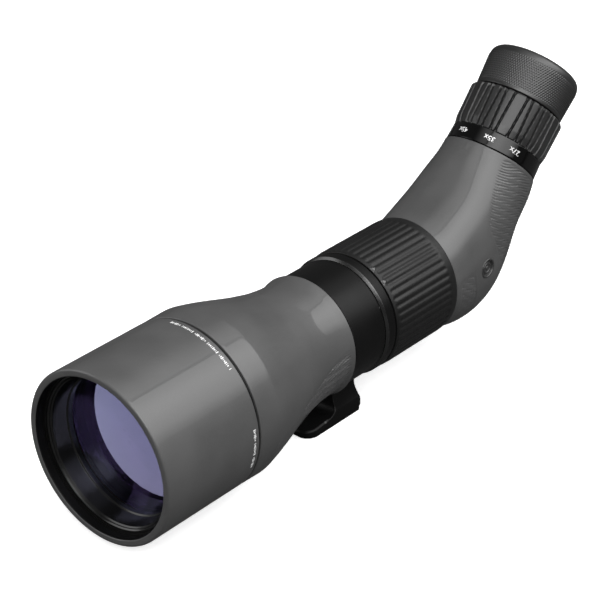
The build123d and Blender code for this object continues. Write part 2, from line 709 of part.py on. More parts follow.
with BuildPart() as prism_housing:
    loft(sections=shell_fan)
    loft(sections=cavity_fan, mode=Mode.SUBTRACT)
    with BuildSketch(BARREL):
        ring(HOUSING_Y, HOUSING_Y + ENTRY_DEPTH, 0, SPIGOT_R)
    revolve(axis=BARREL_AXIS, mode=Mode.SUBTRACT)
    with BuildSketch(EYEPIECE):
        ring(EYE_END - EXIT_DEPTH, EYE_END, 0, EYE_FLANGE_R)
    revolve(axis=EYEPIECE_AXIS, mode=Mode.SUBTRACT)
    with BuildSketch(PLUG_PLANE):
        Circle(PLUG_STEM_R)
    extrude(amount=PLUG_SEAT_X + PAST, mode=Mode.SUBTRACT)
    with BuildSketch(PLUG_PLANE.offset(PLUG_SEAT_X)):
        Circle(PLUG_R + SKIN_GAP)
    extrude(amount=PLUG_CUT, mode=Mode.SUBTRACT)
keep(prism_housing, "prism_housing")

PLUG_STEM = 3.0
PLUG_GROOVE = 0.4        # depth of the marks in the face
PLUG_RING = (4.0, 4.6)   # radii of the ring groove
SPANNER_R = 0.7
SPANNER_PITCH_R = 2.2

with BuildPart() as purge_plug:
    with BuildSketch(PLUG_PLANE.offset(PLUG_SEAT_X)):
        Circle(PLUG_R)
    extrude(amount=PLUG_FACE_X - PLUG_SEAT_X)
    with BuildSketch(PLUG_PLANE.offset(PLUG_SEAT_X - PLUG_STEM)):
        Circle(PLUG_STEM_R)
    extrude(amount=PLUG_STEM)
    with BuildSketch(PLUG_PLANE.offset(PLUG_FACE_X - PLUG_GROOVE)):
        Circle(PLUG_RING[1])
        Circle(PLUG_RING[0], mode=Mode.SUBTRACT)
        with PolarLocations(SPANNER_PITCH_R, 2):
            Circle(SPANNER_R)
    extrude(amount=PLUG_GROOVE, mode=Mode.SUBTRACT)
keep(purge_plug, "purge_plug")

# ---------------------------------------------------------------- erecting prism and its cradle
APEX = (103.5, 80.0)     # (Y, Z) where the two working faces would meet
FACE = 42.0              # length of each working face
PRISM_HALF = 14.0
APEX_CUT = 6.0
LEAN = radians(TILT)
APEX_FRONT = (APEX[0], APEX[1] - APEX_CUT)
APEX_REAR = (APEX[0] + APEX_CUT * cos(LEAN), APEX[1] - APEX_CUT * sin(LEAN))
ENTRY_FOOT = (APEX[0], APEX[1] - FACE)
EXIT_FOOT = (APEX[0] + FACE * cos(LEAN), APEX[1] - FACE * sin(LEAN))
ROOF_LENGTH = 2 * FACE * sin(LEAN / 2)
ROOF = Plane(
    origin=(0, *ENTRY_FOOT),
    x_dir=(1, 0, 0),
    z_dir=(0, cos(LEAN / 2), sin(LEAN / 2)),
)

with BuildPart() as roof_prism:
    with BuildSketch(SIDE):
        outline(APEX_FRONT, APEX_REAR, EXIT_FOOT, ENTRY_FOOT)
    extrude(amount=PRISM_HALF, both=True)
    with BuildSketch(ROOF):
        outline((-PRISM_HALF, 0), (PRISM_HALF, 0), (0, PRISM_HALF))
    extrude(amount=ROOF_LENGTH)
keep(roof_prism, "roof_prism")

SCREW_HEAD_R = 1.6
SCREW_HEAD = 1.0
CLAMP_THICK = 1.5
CLAMP_SCREW_R = 0.8
CLAMP_SCREW_DEPTH = 4.0
PLATE_REAR_Y = 98.5
PLATE_R = 30.6
PLATE_BORE_R = 19.0
CHEEK = 2.5
CHEEK_ROOT = (46.0, 73.0)        # heights where a cheek leaves the plate
CHEEK_EXIT = (EXIT_FOOT[0] - 4.0, EXIT_FOOT[1] + 4.0)
CHEEK_ENTRY = (ENTRY_FOOT[0] + 8.0, ENTRY_FOOT[1] + 6.0)
CLAMP_PLANE = Plane(
    origin=(0, (APEX_FRONT[0] + APEX_REAR[0]) / 2, (APEX_FRONT[1] + APEX_REAR[1]) / 2),
    x_dir=(1, 0, 0),
    z_dir=(0, -sin(LEAN / 2), cos(LEAN / 2)),
)


def clamp_screw_circles(radius):
    """The two clamp screws' circles, over the middle of the cheeks."""
    reach = PRISM_HALF + CHEEK / 2
    with Locations((-reach, 0), (reach, 0)):
        Circle(radius)


with BuildPart() as prism_cradle:
    with BuildSketch(BACKPLANE):
        Circle(PLATE_R)
        Circle(PLATE_BORE_R, mode=Mode.SUBTRACT)
        with PolarLocations(CRADLE_PITCH_R, CRADLE_SCREWS, start_angle=30):
            Circle(CRADLE_SCREW_R, mode=Mode.SUBTRACT)
    extrude(amount=PLATE_REAR_Y - MID_REAR_Y)
    for side in (-1, 1):
        with BuildSketch(SIDE.offset(side * PRISM_HALF)):
            outline(
                (PLATE_REAR_Y, CHEEK_ROOT[0]),
                (PLATE_REAR_Y, CHEEK_ROOT[1]),
                APEX_FRONT,
                APEX_REAR,
                CHEEK_EXIT,
                CHEEK_ENTRY,
            )
        extrude(amount=side * CHEEK)
    with BuildSketch(CLAMP_PLANE):
        clamp_screw_circles(CLAMP_SCREW_R)
    extrude(amount=-CLAMP_SCREW_DEPTH, mode=Mode.SUBTRACT)
keep(prism_cradle, "prism_cradle")

CLAMP_UP = (-CLAMP_THICK * sin(LEAN / 2), CLAMP_THICK * cos(LEAN / 2))
with BuildPart() as prism_clamp:
    with BuildSketch(SIDE):
        outline(
            APEX_FRONT,
            APEX_REAR,
            (APEX_REAR[0] + CLAMP_UP[0], APEX_REAR[1] + CLAMP_UP[1]),
            (APEX_FRONT[0] + CLAMP_UP[0], APEX_FRONT[1] + CLAMP_UP[1]),
        )
    extrude(amount=PRISM_HALF + CHEEK, both=True)
    with BuildSketch(CLAMP_PLANE):
        clamp_screw_circles(CLAMP_SCREW_R)
    extrude(amount=CLAMP_THICK, mode=Mode.SUBTRACT)
keep(prism_clamp, "prism_clamp")

with BuildPart() as prism_clamp_screws:
    with BuildSketch(CLAMP_PLANE.offset(CLAMP_THICK)):
        clamp_screw_circles(SCREW_HEAD_R)
    extrude(amount=SCREW_HEAD)
    with BuildSketch(CLAMP_PLANE.offset(-CLAMP_SCREW_DEPTH)):
        clamp_screw_circles(CLAMP_SCREW_R)
    extrude(amount=CLAMP_SCREW_DEPTH + CLAMP_THICK)
keep(prism_clamp_screws, "prism_clamp_screws")

with BuildPart() as cradle_screws:
    with BuildSketch(BACKPLANE.offset(PLATE_REAR_Y - MID_REAR_Y)):
        with PolarLocations(CRADLE_PITCH_R, CRADLE_SCREWS, start_angle=30):
            Circle(CRADLE_HEAD_R)
    extrude(amount=SCREW_HEAD)
    with BuildSketch(BACKPLANE.offset(-CRADLE_SCREW_DEPTH)):
        with PolarLocations(CRADLE_PITCH_R, CRADLE_SCREWS, start_angle=30):
            Circle(CRADLE_SCREW_R)
    extrude(amount=CRADLE_SCREW_DEPTH + PLATE_REAR_Y - MID_REAR_Y)
keep(cradle_screws, "cradle_screws")

# ================================================================ eyepiece
TUBE_FRONT = 54.0
STOP_REAR = 56.5
SLEEVE_FRONT = 57.0
SLEEVE_REAR = 111.0
EYE_CELL_FRONT = 111.5
EYE_CELL_REAR = 124.5
ZOOM_PIN = 71.0          # station of the zoom drive pin
ZOOM_PIN_R = 1.5
PIN_SWEEP = ZOOM_TURN + 6        # degrees of slot either way
PIN_SLOT = ZOOM_PIN_R + RUNNING
KEY_WIDTH = 3.0
KEY_R = 23.9
KEY_MIDDLE = (KEY_R + EYE_TUBE_R + PAST) / 2
KEY_FRONT = 106.0
FLANGE_STEP = 6.0        # thickness of the tube's flange in the housing
STOP_BORE_R = 12.0
UP = Plane(origin=BEND, x_dir=(1, 0, 0), z_dir=EYE_DIR)     # local z runs along the eyepiece axis
PIN_DIR = (0, -sin(radians(TILT)), cos(radians(TILT)))


def pin_plane(station, distance):
    """Plane across the radial line at the top front of the eyepiece."""
    origin = Vector(*BEND) + Vector(*EYE_DIR) * station + Vector(*PIN_DIR) * distance
    return Plane(origin=origin, x_dir=(1, 0, 0), z_dir=PIN_DIR)


with BuildPart() as eyepiece_barrel:
    with BuildSketch(EYEPIECE):
        outline(
            (TUBE_FRONT, EYE_BORE_R),
            (TUBE_FRONT, EYE_TUBE_R),
            (EYE_END - FLANGE_STEP, EYE_TUBE_R),
            (EYE_END - FLANGE_STEP, EYE_FLANGE_R),
            (EYE_END, EYE_FLANGE_R),
            (EYE_END, EYE_TUBE_R),
            (EYE_TUBE_REAR, EYE_TUBE_R),
            (EYE_TUBE_REAR, EYE_BORE_R),
        )
    revolve(axis=EYEPIECE_AXIS)
    for turn_axis in (EYEPIECE_AXIS, EYEPIECE_AXIS.reverse()):
        with BuildSketch(EYEPIECE):
            ring(ZOOM_PIN - PIN_SLOT, ZOOM_PIN + PIN_SLOT, EYE_BORE_R - PAST, EYE_TUBE_R + PAST)
        revolve(axis=turn_axis, revolution_arc=PIN_SWEEP, mode=Mode.SUBTRACT)
    with Locations(Location(UP.offset((KEY_FRONT + EYE_TUBE_REAR) / 2))):
        with Locations((-KEY_MIDDLE, 0), (KEY_MIDDLE, 0)):
            Box(
                EYE_TUBE_R + PAST - KEY_R,
                KEY_WIDTH + 2 * RUNNING,
                EYE_TUBE_REAR - KEY_FRONT,
                mode=Mode.SUBTRACT,
            )
keep(eyepiece_barrel, "eyepiece_barrel")

with BuildPart() as field_stop:
    with BuildSketch(EYEPIECE):
        ring(TUBE_FRONT, STOP_REAR, STOP_BORE_R, EYE_BORE_R)
    revolve(axis=EYEPIECE_AXIS)
keep(field_stop, "field_stop")

SCALE_R = (29.1, 29.4, 28.9)     # front edge, behind its chamfer, rear edge
SCALE_EASE = 0.3

with BuildPart() as scale_ring:
    with BuildSketch(EYEPIECE):
        outline(
            (SCALE_FRONT, ZOOM_CORE_R),
            (SCALE_FRONT, SCALE_R[0]),
            (SCALE_FRONT + SCALE_EASE, SCALE_R[1]),
            (SCALE_REAR, SCALE_R[2]),
            (SCALE_REAR, ZOOM_CORE_R),
        )
    revolve(axis=EYEPIECE_AXIS)
keep(scale_ring, "scale_ring")

ZOOM_PIN_TIP = 26.8
ZOOM_PIN_ROOT = 21.0
ZOOM_RING_REAR = 103.4

with BuildPart() as zoom_ring:
    with BuildSketch(EYEPIECE):
        ring(SCALE_FRONT, ZOOM_RING_REAR, EYE_TUBE_R + RUNNING, ZOOM_CORE_R)
    revolve(axis=EYEPIECE_AXIS)
    with BuildSketch(pin_plane(ZOOM_PIN, ZOOM_PIN_ROOT)):
        Circle(ZOOM_PIN_R)
    extrude(amount=ZOOM_PIN_TIP - ZOOM_PIN_ROOT, mode=Mode.SUBTRACT)
keep(zoom_ring, "zoom_ring")

ZOOM_BASE_R = 28.9       # grip radius beside the scale
ZOOM_CROWN_R = 30.3      # grip radius beside the eyecup
ZOOM_RAMP = 5.0          # length over which the grip grows
ZOOM_REAR_EASE = 1.0
ZOOM_FLUTES = 30
FLUTE_DEPTH = 1.1
FLUTE_WIDTH = 1.8

with BuildPart() as zoom_grip:
    with BuildSketch(EYEPIECE):
        outline(
            (ZOOM_FRONT, ZOOM_CORE_R),
            (ZOOM_FRONT, ZOOM_BASE_R),
            (ZOOM_FRONT + ZOOM_RAMP, ZOOM_CROWN_R - ZOOM_REAR_EASE / 2),
            (ZOOM_REAR - ZOOM_REAR_EASE, ZOOM_CROWN_R),
            (ZOOM_REAR, ZOOM_CROWN_R - ZOOM_REAR_EASE),
            (ZOOM_REAR, ZOOM_CORE_R),
        )
    revolve(axis=EYEPIECE_AXIS)
    with Locations(Location(UP.offset((ZOOM_FRONT + ZOOM_REAR) / 2))):
        with PolarLocations(ZOOM_CROWN_R, ZOOM_FLUTES):
            Box(2 * FLUTE_DEPTH, FLUTE_WIDTH, ZOOM_REAR - ZOOM_FRONT - ZOOM_RAMP, mode=Mode.SUBTRACT)
keep(zoom_grip, "zoom_grip")

with BuildPart() as zoom_cam_sleeve:
    with BuildSketch(EYEPIECE):
        ring(SLEEVE_FRONT, SLEEVE_REAR, SLEEVE_BORE_R, SLEEVE_R)
    revolve(axis=EYEPIECE_AXIS)
    with BuildSketch(pin_plane(ZOOM_PIN, SLEEVE_BORE_R - PAST)):
        Circle(ZOOM_PIN_R)
    extrude(amount=SLEEVE_R - SLEEVE_BORE_R + 2 * PAST, mode=Mode.SUBTRACT)
keep(zoom_cam_sleeve, "zoom_cam_sleeve")

with BuildPart() as zoom_drive_pin:
    with BuildSketch(pin_plane(ZOOM_PIN, ZOOM_PIN_ROOT)):
        Circle(ZOOM_PIN_R)
    extrude(amount=ZOOM_PIN_TIP - ZOOM_PIN_ROOT)
keep(zoom_drive_pin, "zoom_drive_pin")

with BuildPart() as zoom_guide_rods:
    with BuildSketch(UP.offset(STOP_REAR)):
        with PolarLocations(ROD_PITCH_R, 2):
            Circle(ROD_R)
    extrude(amount=EYE_CELL_FRONT - STOP_REAR)
keep(zoom_guide_rods, "zoom_guide_rods")


def lens_cell(start, end, seat, opening, bore):
    """Moving cell: a cylinder with a lens seat and two holes for the guide rods."""
    with BuildPart() as cell:
        with BuildSketch(EYEPIECE):
            outline(
                (start, bore),
                (start, CELL_OUT_R),
                (end, CELL_OUT_R),
                (end, opening),
                (seat, opening),
                (seat, bore),
            )
        revolve(axis=EYEPIECE_AXIS)
        with BuildSketch(UP.offset(start)):
            with PolarLocations(ROD_PITCH_R, 2):
                Circle(ROD_R + RUNNING)
        extrude(amount=end - start, mode=Mode.SUBTRACT)
    return cell


LENS_FLAT = 2.0          # width of the flat that a lens is held by


def lens(start, end, radius, front_bulge, rear_bulge):
    """Lens on the eyepiece axis; the bulges are positive where a face is convex."""
    ground = radius - LENS_FLAT
    with BuildPart() as glass:
        with BuildSketch(EYEPIECE):
            with BuildLine():
                dome(start - front_bulge, start, ground)
                Line((start - front_bulge, 0), (end + rear_bulge, 0))
                dome(end + rear_bulge, end, ground)
                Polyline((end, ground), (end, radius), (start, radius), (start, ground))
            make_face()
        revolve(axis=EYEPIECE_AXIS)
    return glass


FRONT_CELL = (62.0, 70.0)
REAR_CELL = (86.0, 96.0)
GROUP_R = 16.0
GROUP_OPENING = 14.5
CELL_LIP = 2.0           # width of the lip behind a lens
FRONT_HOLLOW = -1.0      # the front group spreads the light
REAR_BULGE = 1.8
FRONT_GLASS = (64.0, FRONT_CELL[1] - CELL_LIP)
REAR_GLASS = (88.5, REAR_CELL[1] - CELL_LIP)
keep(lens_cell(*FRONT_CELL, FRONT_GLASS[1], GROUP_OPENING, GROUP_R), "zoom_front_cell")
keep(lens(*FRONT_GLASS, GROUP_R, FRONT_HOLLOW, FRONT_HOLLOW), "zoom_front_lens")
keep(lens_cell(*REAR_CELL, REAR_GLASS[1], GROUP_OPENING, GROUP_R), "zoom_rear_cell")
keep(lens(*REAR_GLASS, GROUP_R, REAR_BULGE, REAR_BULGE), "zoom_rear_lens")

EYE_LENS_R = 15.0
EYE_LENS_SEAT = 114.5
EYE_LENS_REAR = 120.5
EYE_LENS_BULGE = 1.5
EYE_CELL_BORE_R = 13.0
EYE_CELL_FLARE = 1.5
EYE_RETAINER_WIDTH = 2.0
EYE_RETAINER_BORE_R = 13.2

with BuildPart() as eye_lens_cell:
    with BuildSketch(EYEPIECE):
        outline(
            (EYE_CELL_FRONT, EYE_CELL_BORE_R),
            (EYE_CELL_FRONT, EYE_BORE_R),
            (EYE_CELL_REAR, EYE_BORE_R),
            (EYE_CELL_REAR, EYE_LENS_R + EYE_CELL_FLARE),
            (EYE_LENS_REAR + EYE_RETAINER_WIDTH, EYE_LENS_R),
            (EYE_LENS_SEAT, EYE_LENS_R),
            (EYE_LENS_SEAT, EYE_CELL_BORE_R),
        )
    revolve(axis=EYEPIECE_AXIS)
keep(eye_lens_cell, "eye_lens_cell")

keep(lens(EYE_LENS_SEAT, EYE_LENS_REAR, EYE_LENS_R, EYE_LENS_BULGE, EYE_LENS_BULGE), "eye_lens")

with BuildPart() as eye_lens_retainer:
    with BuildSketch(EYEPIECE):
        ring(EYE_LENS_REAR, EYE_LENS_REAR + EYE_RETAINER_WIDTH, EYE_RETAINER_BORE_R, EYE_LENS_R)
    revolve(axis=EYEPIECE_AXIS)
keep(eye_lens_retainer, "eye_lens_retainer")

# ---------------------------------------------------------------- twist-up eyecup
GUIDE_FRONT = 110.0
GUIDE_REAR = 114.0
GUIDE_R = 25.6
CUP_CORE_R = 26.6
CUP_CORE_REAR = 127.0
CUP_CORE_BORE_R = EYE_TUBE_R + 2 * RUNNING
KEY_TOOTH = 2.0          # width of a tooth before the bore is cleared

with BuildPart() as eyecup_guide_ring:
    with BuildSketch(EYEPIECE):
        ring(GUIDE_FRONT, GUIDE_REAR, KEY_R + RUNNING, GUIDE_R)
    revolve(axis=EYEPIECE_AXIS)
    with BuildSketch(UP.offset(GUIDE_FRONT)):
        Circle(EYE_TUBE_R + RUNNING)
        with Locations((-EYE_TUBE_R, 0), (EYE_TUBE_R, 0)):
            Rectangle(KEY_TOOTH, KEY_WIDTH, mode=Mode.SUBTRACT)
    extrude(amount=GUIDE_REAR - GUIDE_FRONT, mode=Mode.SUBTRACT)
keep(eyecup_guide_ring, "eyecup_guide_ring")

with BuildPart() as eyecup_core:
    with BuildSketch(EYEPIECE):
        outline(
            (CUP_FRONT, CUP_CORE_BORE_R),
            (CUP_FRONT, CUP_CORE_R),
            (CUP_CORE_REAR, CUP_CORE_R),
            (CUP_CORE_REAR, CUP_CORE_BORE_R),
            (GUIDE_REAR + RUNNING, CUP_CORE_BORE_R),
            (GUIDE_REAR + RUNNING, GUIDE_R + RUNNING),
            (GUIDE_FRONT - RUNNING, GUIDE_R + RUNNING),
            (GUIDE_FRONT - RUNNING, CUP_CORE_BORE_R),
        )
    revolve(axis=EYEPIECE_AXIS)
keep(eyecup_core, "eyecup_core")

CUP_BASE_R = 28.4
CUP_CROWN_R = 29.4
CUP_MOUTH_R = 19.0
CUP_SHOULDER = 124.5     # where the rounded end begins
CUP_BEND = (130.0, 27.2)         # (station, radius) points on the rounded end
CUP_EDGE_R = 22.5
CUP_ROLL = (132.2, 20.5)
CUP_INNER = (130.8, CUP_MOUTH_R)
CUP_SEAT_R = 21.5

with BuildPart() as eyecup_rubber:
    with BuildSketch(EYEPIECE):
        with BuildLine():
            Polyline((CUP_FRONT, CUP_CORE_R), (CUP_FRONT, CUP_BASE_R), (CUP_SHOULDER, CUP_CROWN_R))
            ThreePointArc((CUP_SHOULDER, CUP_CROWN_R), CUP_BEND, (CUP_REAR, CUP_EDGE_R))
            ThreePointArc((CUP_REAR, CUP_EDGE_R), CUP_ROLL, CUP_INNER)
            Polyline(
                CUP_INNER,
                (CUP_CORE_REAR, CUP_SEAT_R),
                (CUP_CORE_REAR, CUP_CORE_R),
                (CUP_FRONT, CUP_CORE_R),
            )
        make_face()
    revolve(axis=EYEPIECE_AXIS)
keep(eyecup_rubber, "eyecup_rubber")

for part in PARTS:
    export_step(part, f"parts/{part.label}.step")
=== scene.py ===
import json
import math

import bpy
import numpy as np
from mathutils import Matrix, Quaternion, Vector
from mathutils.bvhtree import BVHTree

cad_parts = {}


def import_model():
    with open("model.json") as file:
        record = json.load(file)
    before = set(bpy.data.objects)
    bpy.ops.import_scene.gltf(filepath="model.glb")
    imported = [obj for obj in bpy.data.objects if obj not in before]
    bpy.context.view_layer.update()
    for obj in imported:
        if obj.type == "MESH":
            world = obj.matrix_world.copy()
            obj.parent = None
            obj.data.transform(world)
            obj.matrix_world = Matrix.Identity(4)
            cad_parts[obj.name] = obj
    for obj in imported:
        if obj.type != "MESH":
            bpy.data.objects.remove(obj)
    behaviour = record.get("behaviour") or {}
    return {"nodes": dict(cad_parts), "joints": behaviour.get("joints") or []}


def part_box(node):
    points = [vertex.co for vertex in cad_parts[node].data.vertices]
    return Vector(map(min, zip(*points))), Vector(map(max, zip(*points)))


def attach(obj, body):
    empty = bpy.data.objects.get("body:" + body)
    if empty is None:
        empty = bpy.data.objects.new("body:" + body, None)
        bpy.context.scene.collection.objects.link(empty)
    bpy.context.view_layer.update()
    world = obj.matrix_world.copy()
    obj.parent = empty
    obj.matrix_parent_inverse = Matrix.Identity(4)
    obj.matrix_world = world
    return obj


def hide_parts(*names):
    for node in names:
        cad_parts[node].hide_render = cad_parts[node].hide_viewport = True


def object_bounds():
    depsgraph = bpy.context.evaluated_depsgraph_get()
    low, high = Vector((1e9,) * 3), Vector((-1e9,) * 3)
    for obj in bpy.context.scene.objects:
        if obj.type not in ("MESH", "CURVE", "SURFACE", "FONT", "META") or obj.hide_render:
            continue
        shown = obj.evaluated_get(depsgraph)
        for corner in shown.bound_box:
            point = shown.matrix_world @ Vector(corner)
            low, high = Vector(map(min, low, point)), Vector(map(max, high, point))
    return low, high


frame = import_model()
cad_low, cad_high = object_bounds()

MM = 0.001                # outlines below are in millimetres, Blender's objects in metres
TAU = 2 * math.pi
SKIN_GAP = 0.05           # between a skin and the metal under it
CORNER_ROWS = 7           # rows of points in a rounded corner
NODES = frame["nodes"]
JOINTS = {joint["name"]: joint for joint in frame["joints"]}


# ============================================================ shaping helpers
def smooth(t):
    """An eased step: 0 below 0, 1 above 1."""
    t = np.clip(t, 0.0, 1.0)
    return t * t * (3.0 - 2.0 * t)


def wrap(angle):
    """An angle brought between minus and plus half a turn."""
    return (angle + math.pi) % TAU - math.pi


def ray_tree(node):
    """A CAD node's mesh, ready to be hit by rays."""
    mesh = NODES[node].data
    places = [vertex.co.copy() for vertex in mesh.vertices]
    return BVHTree.FromPolygons(places, [list(face.vertices) for face in mesh.polygons])


def blur_rows(values, sigma):
    """Smooths along the first axis, keeping the ends' values and slopes."""
    reach = int(3 * sigma)
    weights = np.exp(-0.5 * (np.arange(-reach, reach + 1) / sigma) ** 2)
    weights /= weights.sum()
    head = 2 * values[:1] - values[reach:0:-1]
    tail = 2 * values[-1:] - values[-2:-reach - 2:-1]
    padded = np.concatenate((head, values, tail))
    return sum(w * padded[k:k + len(values)] for k, w in enumerate(weights))


RAY_RUN = 5.0             # rays at a turned node start this far off it
RAY_ANGLE = 1.2           # round the line, clear of holes and marks


class Line:
    """An axis of the frame. A place round it has a station, a radius and an angle from +X."""

    def __init__(self, base, direction):
        self.base = np.array(base)
        self.along = np.array(direction)
        self.side = np.array((1.0, 0.0, 0.0))
        self.up = np.cross(self.side, self.along)

    def points(self, station, radius, angle):
        station, radius, angle = np.broadcast_arrays(station, radius, angle)
        across = radius * np.cos(angle)
        rise = radius * np.sin(angle)
        offset = station[..., None] * self.along
        offset = offset + across[..., None] * self.side + rise[..., None] * self.up
        return self.base + offset * MM

    def places(self, node):
        """Stations and radii of a CAD node's vertices."""
        mesh = NODES[node].data
        co = np.zeros(len(mesh.vertices) * 3)
        mesh.vertices.foreach_get("co", co)
        from_base = (co.reshape(-1, 3) - self.base) / MM
        station = from_base @ self.along
        radius = np.linalg.norm(from_base - station[:, None] * self.along, axis=1)
        return station, radius

    def reach(self, node):
        """Lowest station, highest station and largest radius of a CAD node."""
        station, radius = self.places(node)
        return station.min(), station.max(), radius.max()

    def envelope(self, node, step, blur):
        """A turned CAD node's outline: stations a step apart and their radii, facets smoothed."""
        low, high, most = self.reach(node)
        rows = np.linspace(low, high, round((high - low) / step) + 1)
        tree = ray_tree(node)
        inside = np.clip(rows, low + SKIN_GAP, high - SKIN_GAP)
        starts = self.points(inside, most + RAY_RUN, RAY_ANGLE)
        inward = Vector(self.points(0.0, -1.0, RAY_ANGLE) - self.base).normalized()
        hits = np.array([tree.ray_cast(Vector(start), inward)[0] for start in starts])
        raw = np.linalg.norm(np.cross(hits - self.base, self.along), axis=1) / MM
        return rows, blur_rows(raw[:, None], blur / step)[:, 0]


def optical_axis():
    joint = JOINTS["focus_turn"]
    at, along = np.array(joint["pos_m"]), np.array(joint["axis"])
    return Line(at - along * (at @ along), along)


def eyepiece_axis(barrel):
    """The eyepiece's axis, with its stations counted from where it meets the optical axis."""
    joint = JOINTS["zoom_turn"]
    at, along = np.array(joint["pos_m"]), np.array(joint["axis"])
    back = (at - barrel.base) @ barrel.up / (along @ barrel.up)
    return Line(at - along * back, along)


BARREL = optical_axis()
EYEPIECE = eyepiece_axis(BARREL)


def rounded(*corners, step=1.0, fine=0.0):
    """A closed outline of (station, radius) rows, with sides beyond the radius fine split at step.

    A corner's third value is the radius that rounds it.
    """
    sharp = [np.array(corner[:2], float) for corner in corners]
    rows = []
    for k, corner in enumerate(corners):
        here = sharp[k]
        if len(corner) == 2:
            rows.append(here)
            continue
        to_last = sharp[k - 1] - here
        to_next = sharp[(k + 1) % len(sharp)] - here
        to_last /= np.linalg.norm(to_last)
        to_next /= np.linalg.norm(to_next)
        half = math.acos(np.clip(to_last @ to_next, -1, 1)) / 2
        middle = to_last + to_next
        centre = here + middle / np.linalg.norm(middle) * corner[2] / math.sin(half)
        trim = corner[2] / math.tan(half)
        start = here + to_last * trim - centre
        stop = here + to_next * trim - centre
        sweep = math.pi - 2 * half
        for t in np.linspace(0, 1, CORNER_ROWS):
            mix = math.sin((1 - t) * sweep) * start + math.sin(t * sweep) * stop
            rows.append(centre + mix / math.sin(sweep))
    return split(np.array(rows), step, closed=True, fine=fine)


def split(rows, step, closed, fine=0.0):
    """The outline with every side beyond the radius fine cut into pieces no longer than step."""
    follow = np.roll(rows, -1, axis=0) if closed else rows[1:]
    out = []
    for here, there in zip(rows, follow):
        length = np.linalg.norm(there - here) if min(here[1], there[1]) > fine else 0
        parts = max(1, math.ceil(length / step))
        out.extend(here + (there - here) * t for t in np.arange(parts) / parts)
    if not closed:
        out.append(rows[-1])
    return np.array(out)


def mesh_piece(name, body, points, faces, materials, numbers=None, crease=35):
    """A smooth-shaded mesh that rides on a body."""
    mesh = bpy.data.meshes.new(name)
    mesh.from_pydata(points.reshape(-1, 3), [], faces)
    for item in materials:
        mesh.materials.append(item)
    if numbers is not None:
        mesh.polygons.foreach_set("material_index", numbers.astype(np.int32))
    mesh.shade_smooth()
    mesh.set_sharp_from_angle(angle=math.radians(crease))
    piece = bpy.data.objects.new(name, mesh)
    bpy.context.scene.collection.objects.link(piece)
    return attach(piece, body)


def evaluated_mesh(piece):
    """An object's mesh as its modifiers or its text make it."""
    bpy.context.view_layer.update()
    graph = bpy.context.evaluated_depsgraph_get()
    return bpy.data.meshes.new_from_object(piece.evaluated_get(graph))


def grid_faces(rows, columns, closed):
    """Quads of a grid that closes round its columns and, if asked, round its rows."""
    i = np.arange(rows if closed else rows - 1)[:, None] * columns
    below = (i + columns) % (rows * columns)
    j = np.arange(columns)[None, :]
    right = (j + 1) % columns
    return np.stack((i + j, i + right, below + right, below + j), -1).reshape(-1, 4)


def area(rows):
    ahead = np.roll(rows, -1, axis=0)
    return ((rows[:, 0] * ahead[:, 1]) - (ahead[:, 0] * rows[:, 1])).sum() / 2


def turned(name, body, line, outline, materials, turns=240, shape=None, paint=None):
    """A closed outline turned round a line.

    shape gives each place's radius, and paint gives each face's material number.
    """
    rows = outline if area(outline) > 0 else outline[::-1]
    angle = np.arange(turns) * TAU / turns
    station = np.repeat(rows[:, :1], turns, 1)
    radius = np.repeat(rows[:, 1:], turns, 1)
    angles = np.repeat(angle[None, :], len(rows), 0)
    moved = shape(station, radius, angles) if shape else radius
    faces = grid_faces(len(rows), turns, closed=True)
    numbers = None
    if paint:
        mid_station = station.ravel()[faces].mean(1)
        mid_radius = radius.ravel()[faces].mean(1)
        mid_angle = angles.ravel()[faces[:, 0]] + math.pi / turns
        numbers = paint(mid_station, mid_radius, mid_angle)
    points = line.points(station, moved, angles)
    return mesh_piece(name, body, points, faces, materials, numbers)


def plug(name, body, centre, direction, outline, materials, turns=96, shape=None):
    """A solid turned about its own axis: outline rows of (height, radius) run from pole to pole."""
    direction = Vector(direction).normalized()
    side = direction.orthogonal().normalized()
    up = direction.cross(side)
    angle = np.arange(turns) * TAU / turns
    inner = outline[1:-1]
    radius = np.repeat(inner[:, 1:], turns, 1)
    height = np.repeat(inner[:, :1], turns, 1)
    angles = np.repeat(angle[None, :], len(inner), 0)
    if shape:
        radius = shape(height, radius, angles)
    offset = height[..., None] * np.array(direction)
    offset = offset + (radius * np.cos(angles))[..., None] * np.array(side)
    offset = offset + (radius * np.sin(angles))[..., None] * np.array(up)
    ends = outline[[0, -1], 0][:, None] * np.array(direction)
    points = np.concatenate((offset.reshape(-1, 3), ends)) * MM + np.array(centre)
    faces = [tuple(face) for face in grid_faces(len(inner), turns, closed=False)]
    first, last = len(points) - 2, len(points) - 1
    base = (len(inner) - 1) * turns
    for j in range(turns):
        after = (j + 1) % turns
        faces.append((first, after, j))
        faces.append((last, base + j, base + after))
    return mesh_piece(name, body, points, faces, materials)


